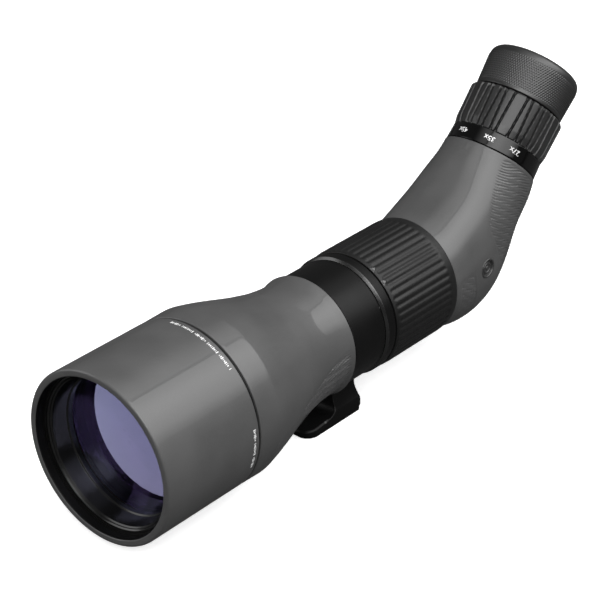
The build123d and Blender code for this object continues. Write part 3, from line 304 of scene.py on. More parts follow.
# ================================================================= materials
class Nodes:
    """A short way to write one material's node tree."""

    def __init__(self, name):
        self.material = bpy.data.materials.new(name)
        self.material.use_nodes = True
        self.tree = self.material.node_tree
        self.shader = self.tree.nodes["Principled BSDF"]
        self.place = self.add("ShaderNodeTexCoord").outputs["Object"]

    def add(self, kind, **inputs):
        node = self.tree.nodes.new(kind)
        for key, value in inputs.items():
            self.put(node.inputs[key.replace("_", " ")], value)
        return node

    def put(self, socket, value):
        if isinstance(value, bpy.types.NodeSocket):
            self.tree.links.new(value, socket)
        else:
            socket.default_value = value

    def noise(self, size_mm, detail=3.0, rough=0.55):
        """Noise whose lumps are about size_mm across, as a value round 0.5."""
        node = self.add(
            "ShaderNodeTexNoise",
            Vector=self.place,
            Scale=1000 / size_mm,
            Detail=detail,
            Roughness=rough,
        )
        return node.outputs["Fac"]

    def cells(self, size_mm):
        node = self.add("ShaderNodeTexVoronoi", Vector=self.place, Scale=1000 / size_mm)
        return node.outputs["Distance"]

    def span(self, value, low, high, start=0.3, stop=0.7):
        """The value's start to stop range spread over low to high."""
        node = self.add("ShaderNodeMapRange", Value=value)
        node.inputs["From Min"].default_value = start
        node.inputs["From Max"].default_value = stop
        node.inputs["To Min"].default_value = low
        node.inputs["To Max"].default_value = high
        return node.outputs["Result"]

    def math(self, kind, a, b):
        node = self.tree.nodes.new("ShaderNodeMath")
        node.operation = kind
        self.put(node.inputs[0], a)
        self.put(node.inputs[1], b)
        return node.outputs[0]

    def mix(self, factor, a, b):
        node = self.tree.nodes.new("ShaderNodeMix")
        node.data_type = "RGBA"
        self.put(node.inputs[0], factor)
        self.put(node.inputs[6], a)
        self.put(node.inputs[7], b)
        return node.outputs[2]

    def edge(self, low, high):
        """0 on flat faces to 1 on outward edges."""
        pointy = self.add("ShaderNodeNewGeometry").outputs["Pointiness"]
        return self.span(pointy, 0.0, 1.0, low, high)

    def bump(self, height, depth_mm):
        node = self.add("ShaderNodeBump", Height=height, Strength=1.0)
        node.inputs["Distance"].default_value = depth_mm * MM
        return node.outputs["Normal"]

    def set(self, **inputs):
        for key, value in inputs.items():
            self.put(self.shader.inputs[key.replace("_", " ")], value)


def grey(value, warm=0.0):
    return (value * (1 + warm), value, value * (1 - warm), 1.0)


ROUGH_SPREAD = 0.05       # how uneven every surface's gloss is
COAT_ROUGH = 0.055


def surface(
    name, tone, rough, grain_mm=0.5, grain_depth=0.02, spread=0.12, metal=0.0, shine=0.5,
    coat=0.0, edge_wear_and_highlight=0.25, edge_tone=None, brushed=False, warm=0.0,
):
    """A moulded or machined surface: mottled colour, fine grain, uneven gloss, paler edges from
    wear, and where the edge share is large a painted highlight along the edges.
    """
    n = Nodes(name)
    cloud = n.noise(28.0, detail=2.0)
    speck = n.noise(grain_mm * 2.2, detail=4.0, rough=0.65)
    dark, light = grey(tone * (1 - spread), warm), grey(tone * (1 + spread), warm)
    base = n.mix(n.span(cloud, 0, 1), dark, light)
    base = n.mix(n.span(speck, 0.0, 0.35), base, grey(tone * (1 + 2.5 * spread), warm))
    # Paler outward edges: wear, and with a large share a painted highlight along the edges.
    edge_wear_and_highlight_mask = n.math("MULTIPLY", n.edge(0.53, 0.62), n.span(n.noise(5.0), 0.0, edge_wear_and_highlight))
    base = n.mix(edge_wear_and_highlight_mask, base, grey(edge_tone or min(1.0, tone * 2.2 + 0.03), warm))
    uneven = n.math("ADD", n.span(cloud, -ROUGH_SPREAD, ROUGH_SPREAD), rough)
    uneven = n.math("ADD", uneven, n.span(speck, -ROUGH_SPREAD / 2, ROUGH_SPREAD / 2))
    if brushed:
        turned_marks = n.add("ShaderNodeTexNoise", Vector=n.place, Scale=140.0, Detail=6.0)
        turned_marks.inputs["Distortion"].default_value = 4.0
        height = n.math("ADD", turned_marks.outputs["Fac"], n.noise(grain_mm))
    else:
        height = n.math("SUBTRACT", n.noise(grain_mm, detail=4.0), n.cells(grain_mm * 1.4))
    normal = n.bump(height, grain_depth)
    n.set(
        Base_Color=base, Roughness=uneven, Metallic=metal, Specular_IOR_Level=shine,
        Coat_Weight=coat, Coat_Roughness=COAT_ROUGH, Normal=normal,
    )
    return n.material


def coated_glass(name, shine, ior=2.05, clear=0.95):
    """Multi-coated optical glass: clear below, with a violet-blue reflection on top; a low clear
    dims what shows through it, as painted shade.
    """
    n = Nodes(name)
    drift = n.span(n.noise(60.0, detail=1.0), 0.0, 1.0)
    tint = n.mix(drift, (0.41, 0.46, 0.95, 1), (0.47, 0.455, 0.95, 1))
    dust = n.span(n.noise(1.2, detail=4.0), 0.0, 0.12, 0.68, 0.78)
    n.set(
        Base_Color=(clear * 0.9, clear * 0.7, clear, 1), Roughness=dust, Transmission_Weight=1.0,
        IOR=ior, Specular_IOR_Level=shine, Specular_Tint=tint,
    )
    return n.material


def prism_glass():
    n = Nodes("prism_glass")
    haze = n.span(n.noise(1.5), 0.02, 0.06)
    tint = n.mix(n.noise(20.0), (0.86, 0.95, 0.93, 1), (0.93, 0.97, 0.95, 1))
    n.set(Base_Color=tint, Roughness=haze, Transmission_Weight=1.0, IOR=1.57)
    return n.material


MATERIALS = {
    "coated_glass": coated_glass("coated_glass", 0.02, ior=1.6),
    # front_coating and glass_back let through only a fifth and two fifths of the light: painted
    # shade darkening the scope's inside seen through the front lens.
    "front_coating": coated_glass("front_coating", 1.0, clear=0.2),
    "glass_back": coated_glass("glass_back", 0.01, ior=1.6, clear=0.4),
    "prism_glass": prism_glass(),
}
SURFACES = {
    "armour": dict(tone=0.062, rough=0.50, grain_mm=0.45, grain_depth=0.01, coat=0.42),
    "hood": dict(tone=0.062, rough=0.50, grain_mm=0.45, grain_depth=0.01, coat=0.42),
    "black_metal": dict(tone=0.006, rough=0.42, grain_mm=0.25, grain_depth=0.006, metal=0.2),
    "satin_black": dict(tone=0.004, rough=0.34, grain_mm=0.22, grain_depth=0.005, shine=0.13),
    "flange_black": dict(tone=0.006, rough=0.22, grain_mm=0.22, grain_depth=0.003, shine=0.9),
    "gloss_black": dict(tone=0.001, rough=0.12, grain_mm=0.3, grain_depth=0.001, edge_wear_and_highlight=0.1),
    "nylon": dict(tone=0.55, rough=0.45, grain_mm=0.6, grain_depth=0.01, spread=0.04, warm=0.05),
    "brass_foil": dict(tone=0.42, rough=0.32, metal=1.0, warm=0.35, brushed=True),
    "steel": dict(tone=0.52, rough=0.26, grain_depth=0.004, metal=1.0, brushed=True, spread=0.06),
    "bare_aluminium": dict(tone=0.62, rough=0.34, grain_depth=0.006, metal=1.0, brushed=True),
    "black_plastic": dict(tone=0.010, rough=0.42, grain_mm=0.5, grain_depth=0.015),
    "grip_rubber": dict(
        tone=0.0055, rough=0.46, grain_mm=0.35, grain_depth=0.015, spread=0.2, shine=0.35
    ),
    "zoom_rubber": dict(
        tone=0.012, rough=0.40, grain_mm=0.35, grain_depth=0.01, spread=0.2, shine=0.6
    ),
    "eyecup_rubber": dict(
        tone=0.010, rough=0.37, grain_mm=0.3, grain_depth=0.01, spread=0.2, shine=0.8
    ),
    "ring_black": dict(tone=0.004, rough=0.2, grain_mm=0.25, grain_depth=0.003, shine=0.5),
    "collar_black": dict(
        tone=0.004, rough=0.34, grain_mm=0.22, grain_depth=0.005, shine=0.13,
        # The large edge share and the pale edge_tone paint a highlight line along the collar's
        # edges.
        edge_wear_and_highlight=1.6, edge_tone=0.13,
    ),
    "plug_grey": dict(tone=0.045, rough=0.36, grain_mm=0.25, grain_depth=0.006, metal=0.3),
    # lighter grey for the focus ring's raised marks: painted highlight for the glint on them
    "mark_glint_grey": dict(tone=0.10, rough=0.42, grain_mm=0.3, grain_depth=0.01),
    "white_print": dict(tone=0.72, rough=0.45, grain_mm=0.2, grain_depth=0.004, edge_wear_and_highlight=0.0),
    "hood_lining": dict(tone=0.003, rough=0.5, grain_mm=0.3, grain_depth=0.01, shine=0.12),
}
for look, settings in SURFACES.items():
    MATERIALS[look] = surface(look, **settings)

for node in NODES.values():
    for material_slot in node.material_slots:
        material_slot.material = MATERIALS[material_slot.material.name.split(".")[0]]


def finish_as(piece, slot, *nodes):
    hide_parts(*nodes)
    return piece


# ================================================================ the barrel
HOOD_WALL = 2.1
HOOD_LIP = 4.4            # radial width of the hood's front face
HOOD_LIP_DEPTH = 6.0
LINING_LIP = 0.25         # the black lining starts this far outside the lip's bore
LINING_WALL = 0.6         # behind the lip it starts this far below the hood's surface
LINING_BACK = 2.0
SEAM_EASE = 0.6           # the hood and the armour each stand back this far at their seam
TICK_BACK = 3.4           # from the hood's rear edge to the middle of its printed ticks
TICK_HEIGHT = 1.9
TICK_PITCH = math.radians(1.15)
TICK_ARCS = ((46, 98), (-24, 7), (172, 262))
TICK_GROUP = 9            # ticks in a group, of which the last but one is left out
PRINT_LIFT = 0.06         # thickness of the print
BOX_FACES = ((0, 1, 2, 3), (7, 6, 5, 4), (0, 4, 5, 1), (1, 5, 6, 2), (2, 6, 7, 3), (3, 7, 4, 0))
BOX_CORNERS = ((-1, -1), (1, -1), (1, 1), (-1, 1))


def hood():
    front, rear, r = BARREL.reach("sunshade")
    bore = r - HOOD_WALL
    lip = r - HOOD_LIP
    rear -= SEAM_EASE
    outline = rounded(
        (front, r, 1.5),
        (rear, r, 0.6),
        (rear, bore, 0.3),
        (front + HOOD_LIP_DEPTH, bore, 0.4),
        (front + HOOD_LIP_DEPTH, lip, 0.4),
        (front, lip, 1.0),
        step=0.9,
    )

    def paint(station, radius, angle):
        behind_face = station > front + LINING_BACK
        inside = (radius < lip + LINING_LIP) | ((radius < r - LINING_WALL) & behind_face)
        return np.where(inside, 1, 0)

    materials = [MATERIALS["hood"], MATERIALS["hood_lining"]]
    piece = turned("hood_shell", "hood", BARREL, outline, materials, turns=360, paint=paint)
    finish_as(piece, "hood", "sunshade")
    graduation(rear - TICK_BACK, r)


def graduation(station, r):
    """A band of small printed ticks round parts of the hood, some left out so that they group."""
    corners = []
    faces = []
    for start, stop in TICK_ARCS:
        count = int(math.radians(stop - start) / TICK_PITCH)
        for k in range(count):
            if k % TICK_GROUP == TICK_GROUP - 2:
                continue
            angle = math.radians(stop) - k * TICK_PITCH
            wide = TICK_PITCH * (0.26 + 0.12 * math.sin(2.1 * k))
            tall = TICK_HEIGHT / 2 * (0.75 + 0.25 * math.cos(1.7 * k))
            base = len(corners) * 8
            corners.append([
                BARREL.points(station + back * tall, r + lift, angle + round_by * wide)
                for lift in (0.0, PRINT_LIFT)
                for back, round_by in BOX_CORNERS
            ])
            for face in BOX_FACES:
                faces.append([base + corner for corner in face])
    materials = [MATERIALS["white_print"]]
    piece = mesh_piece("hood_graduation", "hood", np.array(corners), faces, materials)


TAPER_PANEL_START = -60.0
TAPER_PANEL_END = -7.0
TAPER_PANEL_TILT = 20     # degrees that the panel's upper edge climbs
TAPER_PANEL_SPAN = 62     # degrees from its upper to its lower edge at the rear
TAPER_WAVE_DEPTH = 0.6
TAPER_WAVE_PITCH = 1.9
PANEL_FADE = 3            # degrees over which a grip panel's edge fades
ARMOUR_THICK = 0.9        # least thickness of the taper's rubber
ARMOUR_EDGE = 0.6
ROW_STEP = 0.5
FACET_BLUR = 0.9


def waves(across, along, pitch, mask, depth):
    """Raised wavy lines: across counts over the lines, along runs with them."""
    bend = 0.9 * np.sin(along / 4.6) + 0.5 * np.sin(along / 2.3 + across / 7.0)
    ridge = np.cos(TAU * (across + bend * 0.4) / pitch)
    breaks = 0.75 + 0.25 * np.sin(along / 2.7 + np.floor(across / pitch) * 2.4)
    return mask * depth * breaks * (ridge - 1.0) * 0.5


def taper_armour():
    rows, radius = BARREL.envelope("barrel_armour", ROW_STEP, FACET_BLUR)
    rows[0] += SEAM_EASE
    seat, seat_radius = BARREL.envelope("front_tube", ROW_STEP, FACET_BLUR)
    inner = np.interp(rows, seat, seat_radius) + SKIN_GAP
    radius = np.maximum(radius, inner + ARMOUR_THICK)
    corners = [(rows[0], radius[0] - 0.02, ARMOUR_EDGE)]
    corners += [(s, r) for s, r in zip(rows[4:-4], radius[4:-4])]
    corners += [(rows[-1], radius[-1], ARMOUR_EDGE), (rows[-1], inner[-1], 0.2)]
    corners += [(s, r) for s, r in zip(rows[-5:4:-6], inner[-5:4:-6])]
    corners += [(rows[0], inner[0], 0.2)]
    outline = rounded(*corners, step=5.0)

    def shape(station, r, angle):
        side = np.degrees(np.where(np.cos(angle) > 0, wrap(angle), wrap(math.pi - angle)))
        share = (station - TAPER_PANEL_START) / (TAPER_PANEL_END - TAPER_PANEL_START)
        top = TAPER_PANEL_TILT * (np.clip(share, 0, 1) - 0.5)
        bottom = top - TAPER_PANEL_SPAN * np.clip(share, 0, 1) ** 0.8
        fade = smooth((top - side) / PANEL_FADE) * smooth((side - bottom) / PANEL_FADE)
        fade = fade * smooth(share * 8) * smooth((1 - share) * 16)
        mask = fade * (r > np.interp(station, rows, radius) - ARMOUR_THICK / 3)
        across = (side - top) * r * TAU / 360
        return r + waves(across, station, TAPER_WAVE_PITCH, mask, TAPER_WAVE_DEPTH)

    materials = [MATERIALS["armour"]]
    piece = turned("taper_armour", "scope", BARREL, outline, materials, turns=420, shape=shape)
    finish_as(piece, "armour", "barrel_armour")


FLANGE_BEVEL = 1.2
FLANGE_STEP = 2.0         # the narrower part at its rear
FLANGE_DROP = 0.6


def flange():
    front, rear, r = BARREL.reach("seat_flange")
    station, radius = BARREL.places("seat_flange")
    bore = radius.min()
    front_r = radius[station < front + 0.1].max()
    outline = rounded(
        (front, front_r, 0.2),
        (front + FLANGE_BEVEL, r, 0.3),
        (rear - FLANGE_STEP, r, 0.3),
        (rear - FLANGE_STEP + 0.4, r - FLANGE_DROP, 0.2),
        (rear, r - FLANGE_DROP, 0.3),
        (rear, bore, 0.2),
        (front, bore, 0.2),
        step=0.7,
    )

    def paint(station, radius, angle):
        return np.where(station > front + FLANGE_BEVEL + 0.1, 1, 0)

    materials = [MATERIALS["flange_black"], MATERIALS["satin_black"]]
    piece = turned("collar_flange", "scope", BARREL, outline, materials, turns=300, paint=paint)
    finish_as(piece, "satin_black", "seat_flange")


# ============================================================== focusing ring
FOCUS_GROOVES = 51
FOCUS_GROOVE_HALF = 1.8
FOCUS_GROOVE_DEPTH = 0.42
FOCUS_FRONT_BAND = 2.4    # plain bands at the two ends
FOCUS_REAR_BAND = 6.6
FOCUS_FIRST = math.radians(1.0)
FOCUS_CROWN = 0.12        # height of a rib's curve between two grooves
FOCUS_SKIN = 1.2          # places this far below the surface are left alone
MARK_ANGLES = (47, 62)
MARK_HEIGHT = 0.7
MARK_HALF = 1.9           # half the width of a mark at the front edge
MARK_TAPER = 0.6


def focus_grip():
    front, rear, r = BARREL.reach("focus_grip")
    core = BARREL.reach("focus_ring")[2] + SKIN_GAP
    outline = rounded(
        (front, r - 0.9, 0.5),
        (front + 1.2, r - 0.35, 0.8),
        (front + 4.6, r, 2.0),
        (rear - 4.6, r, 2.0),
        (rear, r - 0.3, 0.8),
        (rear, core, 0.3),
        (front, core, 0.3),
        step=0.7,
        fine=core + 0.5,
    )
    pitch = TAU / FOCUS_GROOVES
    start, stop = front + FOCUS_FRONT_BAND + 0.8, rear - FOCUS_REAR_BAND - 0.6

    def shape(station, radius, angle):
        away = abs(((angle - FOCUS_FIRST) / pitch + 0.5) % 1.0 - 0.5) * pitch * r
        beyond = np.maximum(np.maximum(start - station, station - stop), 0.0)
        groove = smooth((FOCUS_GROOVE_HALF - np.hypot(away, beyond * 0.8)) / 1.75)
        crown = FOCUS_CROWN * (away / (pitch * r / 2)) ** 2
        in_ribs = smooth((station - start + 1.5) / 3) * smooth((stop + 1.5 - station) / 3)
        lift = 0
        for degrees in MARK_ANGLES:
            across = abs(wrap(angle - math.radians(degrees))) * r
            ahead = station - (front + 0.3)
            flank = smooth((MARK_HALF - across - MARK_TAPER * ahead) / 0.6)
            lift = lift + MARK_HEIGHT * flank * smooth(ahead / 0.4)
        outer = radius > r - FOCUS_SKIN
        ribs = (crown - FOCUS_CROWN) * in_ribs - FOCUS_GROOVE_DEPTH * groove
        return radius + outer * (lift + ribs)

    # The raised marks' tops get the lighter grey material: painted highlight for their glint.
    def paint(station, radius, angle):
        ahead = station - (front + 0.2)
        marked = False
        for degrees in MARK_ANGLES:
            across = abs(wrap(angle - math.radians(degrees))) * r
            marked = marked | ((across + MARK_TAPER * ahead < MARK_HALF - 0.2) & (ahead > 0))
        return np.where(marked & (radius > r - FOCUS_SKIN), 1, 0)

    turns = FOCUS_GROOVES * 17
    materials = [MATERIALS["grip_rubber"], MATERIALS["mark_glint_grey"]]
    piece = turned("focus_grip_sleeve", "focus", BARREL, outline, materials, turns, shape, paint)
    finish_as(piece, "grip_rubber", "focus_grip")


# =========================================================== elbow and housing
PANEL_LIMIT = 58.0        # how far the grip panel climbs the housing's side, in degrees
PANEL_START = 19.5        # where the panel starts along the fan, in degrees
PATCH = (2.4, 9.5)        # the small patch of waves near the focus ring
WAVE_PITCH = 1.6
WAVE_DEPTH = 0.5
WAVE_SLOPE = math.radians(23)
ELBOW_STEP = 0.125        # degrees between the housing's rows
ELBOW_TURNS = 244
INNER_ROWS = 24           # on the inside of the skin
COARSE_TURNS = 61         # rows and columns at which the CAD housing is measured
COARSE_ANGLES = 180
RAY_START = 0.06          # metres from a section's middle
RIM_ROUND = 0.8
INDEX_HALF = 0.45
INDEX_HEIGHT = 0.3        # raised mark in front of the scale ring
INDEX_REACH = (59, 64.4)
PLUG_SEAT = 5.9           # radius of the housing's recess for the purge plug
PLUG_POCKET = 1.7
PLUG_PROUD = 0.9


def elbow_pivot():
    """A point of the line about which the housing's sections fan out, and the whole fan's turn."""
    start = BARREL.reach("housing_armour")[0] * MM
    stop = EYEPIECE.reach("housing_armour")[1] * MM
    last = EYEPIECE.base + EYEPIECE.along * stop
    z = ((last @ EYEPIECE.along) - start * EYEPIECE.along[1]) / EYEPIECE.along[2]
    bend = math.acos(BARREL.along @ EYEPIECE.along)
    return np.array((0.0, start, z)), bend


def fan(pivot, turn, reach, side):
    """A place on the fan: its turn from the barrel's plane, reach from the pivot line, and X."""
    turn, reach, side = np.broadcast_arrays(turn, reach, side)
    return pivot + np.stack((side, reach * np.sin(turn), -reach * np.cos(turn)), -1)


def section_radii(node, pivot, turns, angles, middle):
    """Distance from each section's middle to a CAD node's outside, by ray from outside in."""
    tree = ray_tree(node)
    out = np.zeros((len(turns), len(angles)))
    for i, turn in enumerate(turns):
        centre = Vector(fan(pivot, turn, middle, 0.0))
        for j, angle in enumerate(angles):
            reach = middle - RAY_START * math.sin(angle)
            rim = Vector(fan(pivot, turn, reach, RAY_START * math.cos(angle)))
            hit = tree.ray_cast(rim, (centre - rim).normalized())[0]
            out[i, j] = (hit - centre).length if hit is not None else np.nan
    return out


def resample(values, turns_in, turns_out, angles_in, angles_out):
    """Values on one grid of turns and angles, read on another; angles go all the way round."""
    period = np.concatenate((angles_in, angles_in[:1] + TAU))
    closed = np.concatenate((values, values[:, :1]), 1)
    across = np.array([np.interp(angles_out, period, row) for row in closed])
    return np.array([np.interp(turns_out, turns_in, column) for column in across.T]).T


def blur_round(values, sigma):
    """Smooths round the second axis, which closes on itself."""
    reach = int(3 * sigma)
    weights = np.exp(-0.5 * (np.arange(-reach, reach + 1) / sigma) ** 2)
    weights /= weights.sum()
    return sum(w * np.roll(values, k - reach, 1) for k, w in enumerate(weights))


def housing():
    pivot, bend = elbow_pivot()
    middle = pivot[2] - BARREL.base[2]
    coarse_turns = np.linspace(0.002, bend - 0.002, COARSE_TURNS)
    coarse_angles = np.arange(COARSE_ANGLES) * TAU / COARSE_ANGLES
    outer = section_radii("housing_armour", pivot, coarse_turns, coarse_angles, middle)
    mirrored = (COARSE_ANGLES // 2 - np.arange(COARSE_ANGLES)) % COARSE_ANGLES
    outer = np.fmax(outer, outer[:, mirrored])
    inner = section_radii("prism_housing", pivot, coarse_turns, coarse_angles, middle)
    outer = blur_round(blur_rows(outer, 3.0), 1.2)
    turns = np.arange(0, math.degrees(bend) + ELBOW_STEP / 2, ELBOW_STEP)
    turns = np.radians(turns) * bend / math.radians(turns[-1])
    angles = np.arange(ELBOW_TURNS) * TAU / ELBOW_TURNS
    outside = resample(outer, coarse_turns, turns, coarse_angles, angles)
    inside = resample(inner, coarse_turns, turns, coarse_angles, angles) + 0.06 * MM
    return pivot, bend, middle, turns, angles, outside, inside


def housing_armour():
    pivot, bend, middle, turns, angles, outside, inside = housing()
    side = np.degrees(np.where(np.cos(angles) > 0, wrap(angles), wrap(math.pi - angles)))[None, :]
    degrees = np.degrees(turns)[:, None]
    reach = middle - outside * np.sin(angles)
    places = fan(pivot, turns[:, None], reach, outside * np.cos(angles)) / MM
    top = PANEL_LIMIT - 27 * np.clip((43.5 - degrees) / 25.5, 0, None) ** 2.2
    grip = smooth((top - side) / PANEL_FADE) * smooth((side + 52) / 4)
    grip = grip * smooth((degrees - PANEL_START) / 1.2)
    grip = grip * smooth((math.degrees(bend) - 0.9 - degrees) / 0.6)
    patch = smooth((degrees - PATCH[0]) / 0.8) * smooth((PATCH[1] - degrees) / 0.8)
    patch = patch * smooth((9 - side) / PANEL_FADE) * smooth((side + 56) / 4)
    down = places[..., 2] * math.cos(WAVE_SLOPE) + places[..., 1] * math.sin(WAVE_SLOPE)
    run = places[..., 1] * math.cos(WAVE_SLOPE) - places[..., 2] * math.sin(WAVE_SLOPE)
    relief = waves(down, run, WAVE_PITCH, np.maximum(grip, patch), WAVE_DEPTH)
    station = (places - EYEPIECE.base / MM) @ EYEPIECE.along
    across = places[..., 0]
    index = smooth((INDEX_HALF + 0.3 - abs(across)) / 0.3) * (np.sin(angles) > 0)
    index = index * smooth((station - INDEX_REACH[0]) / 0.5)
    index = index * smooth((INDEX_REACH[1] - station) / 0.5)
    relief = relief + INDEX_HEIGHT * index
    low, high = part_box("purge_plug")
    spot = (low + high) / 2 / MM
    from_plug = np.hypot(places[..., 1] - spot.y, places[..., 2] - spot.z)
    relief = relief - PLUG_POCKET * smooth((PLUG_SEAT - from_plug) / 0.6) * (across > 0)
    arc = turns * middle / MM
    from_end = np.minimum(arc, arc[-1] - arc)[:, None]
    short = np.maximum(RIM_ROUND - from_end, 0)
    easing = RIM_ROUND - np.sqrt(np.maximum(RIM_ROUND ** 2 - short ** 2, 0))
    shaped = outside + (relief - easing) * MM
    shaped = np.maximum(shaped, inside + 0.5 * MM)
    keep = np.unique(np.linspace(0, len(turns) - 1, INNER_ROWS).round().astype(int))
    radii = np.concatenate((shaped, inside[keep[::-1]]))
    rows = np.concatenate((turns, turns[keep[::-1]]))[:, None]
    points = fan(pivot, rows, middle - radii * np.sin(angles), radii * np.cos(angles))
    faces = grid_faces(len(rows), ELBOW_TURNS, closed=True)
    piece = mesh_piece("housing_armour_skin", "scope", points, faces, [MATERIALS["armour"]])
    finish_as(piece, "armour", "housing_armour")


def purge_plug():
    """The nitrogen plug: a raised rim, a sunk dished face and a centre boss."""
    low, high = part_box("purge_plug")
    centre = (low + high) / 2
    centre.x = low.x
    face = (high.x - low.x) / MM
    rim = face + PLUG_PROUD
    outline = split(np.array((
        (0.0, 0.0),
        (0.0, PLUG_SEAT - 0.6),
        (rim - 1.6, PLUG_SEAT - 0.3),
        (rim - 0.5, PLUG_SEAT + 0.35),
        (rim - 0.12, PLUG_SEAT + 0.1),
        (rim, PLUG_SEAT - 0.3),
        (rim - 0.1, PLUG_SEAT - 0.7),
        (rim - 0.5, PLUG_SEAT - 0.95),
        (rim - 1.3, PLUG_SEAT - 1.15),
        (rim - 1.4, PLUG_SEAT - 1.4),
        (rim - 1.2, PLUG_SEAT - 2.5),
        (rim - 0.8, PLUG_SEAT - 2.8),
        (rim - 0.75, PLUG_SEAT - 3.2),
        (rim - 1.15, PLUG_SEAT - 3.5),
        (rim - 1.2, PLUG_SEAT - 4.6),
        (rim - 0.8, 0.9),
        (rim - 0.75, 0.0),
    )), 0.3, closed=False)
    piece = plug("purge_cap", "scope", centre, (1, 0, 0), outline, [MATERIALS["plug_grey"]])
    finish_as(piece, "satin_black", "purge_plug")


# ================================================================= the eyepiece
ZOOM_GROUPS = 6
ZOOM_PITCH = math.radians(8.8)   # of the six grooves between two wide lands
ZOOM_LEAN = math.radians(1.1)    # grooves lean alternately left and right
ZOOM_GROOVE_HALF = 1.0
ZOOM_LAND_AT = math.radians(58.5)
ZOOM_DEPTH = 1.7
NUMERALS = (("27x", 35), ("35x", 69), ("45x", 107), ("55x", 145))
NUMERAL_SIZE = 4.7


def scale_ring():
    front, rear, r = EYEPIECE.reach("scale_ring")
    bore = EYEPIECE.places("scale_ring")[1].min()
    rear_r = r - 0.5
    outline = rounded(
        (front, r, 0.35),
        (rear, rear_r, 0.35),
        (rear, bore, 0.2),
        (front, bore, 0.2),
        step=0.8,
    )
    materials = [MATERIALS["gloss_black"]]
    piece = turned("scale_band", "zoom", EYEPIECE, outline, materials, turns=300)
    finish_as(piece, "gloss_black", "scale_ring")
    middle = (front + rear) / 2
    for text, degrees in NUMERALS:
        numeral(text, degrees, middle, (r + rear_r) / 2)


def numeral(text, degrees, station, radius):
    """Printed figures that follow the ring; their tops point at the housing."""
    curve = bpy.data.curves.new("numeral_" + text, "FONT")
    curve.body = text
    curve.size = NUMERAL_SIZE
    curve.align_x = "CENTER"
    curve.align_y = "CENTER"
    curve.offset = 0.07
    curve.extrude = 0.03
    holder = bpy.data.objects.new("numeral_" + text, curve)
    bpy.context.scene.collection.objects.link(holder)
    mesh = evaluated_mesh(holder)
    bpy.data.objects.remove(holder)
    co = np.zeros(len(mesh.vertices) * 3)
    mesh.vertices.foreach_get("co", co)
    flat = co.reshape(-1, 3)
    angle = math.radians(degrees) + flat[:, 0] / radius
    placed = EYEPIECE.points(station - flat[:, 1], radius + 0.05 + flat[:, 2], angle)
    mesh.vertices.foreach_set("co", placed.ravel())
    mesh.materials.clear()
    mesh.materials.append(MATERIALS["white_print"])
    mesh.update()
    piece = bpy.data.objects.new("numeral_" + text, mesh)
    bpy.context.scene.collection.objects.link(piece)
    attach(piece, "zoom")


def zoom_grip():
    front, rear, r = EYEPIECE.reach("zoom_grip")
    core = EYEPIECE.reach("zoom_ring")[2] + SKIN_GAP
    outline = rounded(
        (front, r - 1.5, 0.6),
        (front + 5.0, r - 0.5, 6.0),
        (rear - 1.0, r, 0.8),
        (rear, r - 0.8, 0.5),
        (rear, core, 0.3),
        (front, core, 0.3),
        step=0.5,
        fine=core + 0.5,
    )
    group = TAU / ZOOM_GROUPS
    first = group / 2 - 2.5 * ZOOM_PITCH

    def shape(station, radius, angle):
        turn = (angle - ZOOM_LAND_AT) / group
        number = np.round(turn)
        local = (turn - number) * group
        index = np.clip(np.round((abs(local) - first) / ZOOM_PITCH), 0, 2)
        lean = np.where((index + number) % 2 == 0, -1, 1) * ZOOM_LEAN
        along = 2 * (station - front) / (rear - front) - 1
        centre = np.where(local < 0, -1, 1) * (first + index * ZOOM_PITCH)
        away = abs(local - centre - lean * along) * r
        to_end = np.minimum(station - front, rear - station)
        half = ZOOM_GROOVE_HALF + 0.6 * smooth((2.4 - to_end) / 2.4)
        groove = smooth((half - away) / half)
        outer = radius > r - 2.2
        return np.where(outer, np.maximum(radius - ZOOM_DEPTH * groove, core + 0.3), radius)

    materials = [MATERIALS["zoom_rubber"]]
    piece = turned("zoom_grip_sleeve", "zoom", EYEPIECE, outline, materials, 960, shape)
    finish_as(piece, "grip_rubber", "zoom_grip")


EYECUP_MOUTH = 19.0       # radius of its opening
DIMPLE_PITCH = 1.62
DIMPLE_DEPTH = 0.28


def dimples(station, angle, radius):
    """Depth of a honeycomb of round dimples, a whole number of which go round."""
    columns = round(TAU * radius / DIMPLE_PITCH)
    rise = TAU * radius / columns * math.sqrt(3) / 2
    u = angle / TAU * columns
    depth = np.zeros_like(u)
    row = np.floor(station / rise)
    for k in (row, row + 1):
        off = (u + 0.5 * (k % 2) + 0.5) % 1.0 - 0.5
        away = np.hypot(off * DIMPLE_PITCH, station - k * rise)
        depth = np.maximum(depth, smooth((0.46 * DIMPLE_PITCH - away) / (0.32 * DIMPLE_PITCH)))
    return depth * DIMPLE_DEPTH


def eyecup():
    front, rear, r = EYEPIECE.reach("eyecup_rubber")
    core = EYEPIECE.reach("eyecup_core")[2] + SKIN_GAP
    core_end = EYEPIECE.reach("eyecup_core")[1] + SKIN_GAP
    outline = rounded(
        (front, r - 1.2, 0.6),
        (rear - 7.5, r, 1.5),
        (rear, r - 0.9, 5.6),
        (rear, EYECUP_MOUTH, 1.0),
        (core_end, EYECUP_MOUTH, 0.3),
        (core_end, core, 0.2),
        (front, core, 0.3),
        step=0.3,
        fine=core + 0.5,
    )

    def shape(station, radius, angle):
        zone = smooth((station - front - 1.2) / 1.0) * smooth((rear - 4.6 - station) / 2.0)
        outer = radius > r - 2.4
        return radius - outer * zone * dimples(station - front, angle, r)

    materials = [MATERIALS["eyecup_rubber"]]
    piece = turned("eyecup_sleeve", "eyecup", EYEPIECE, outline, materials, 880, shape)
    finish_as(piece, "eyecup_rubber", "eyecup_rubber")


# ================================================================ lock knob
KNOB_LOBES = 10
KNOB_SCALLOP = 1.3


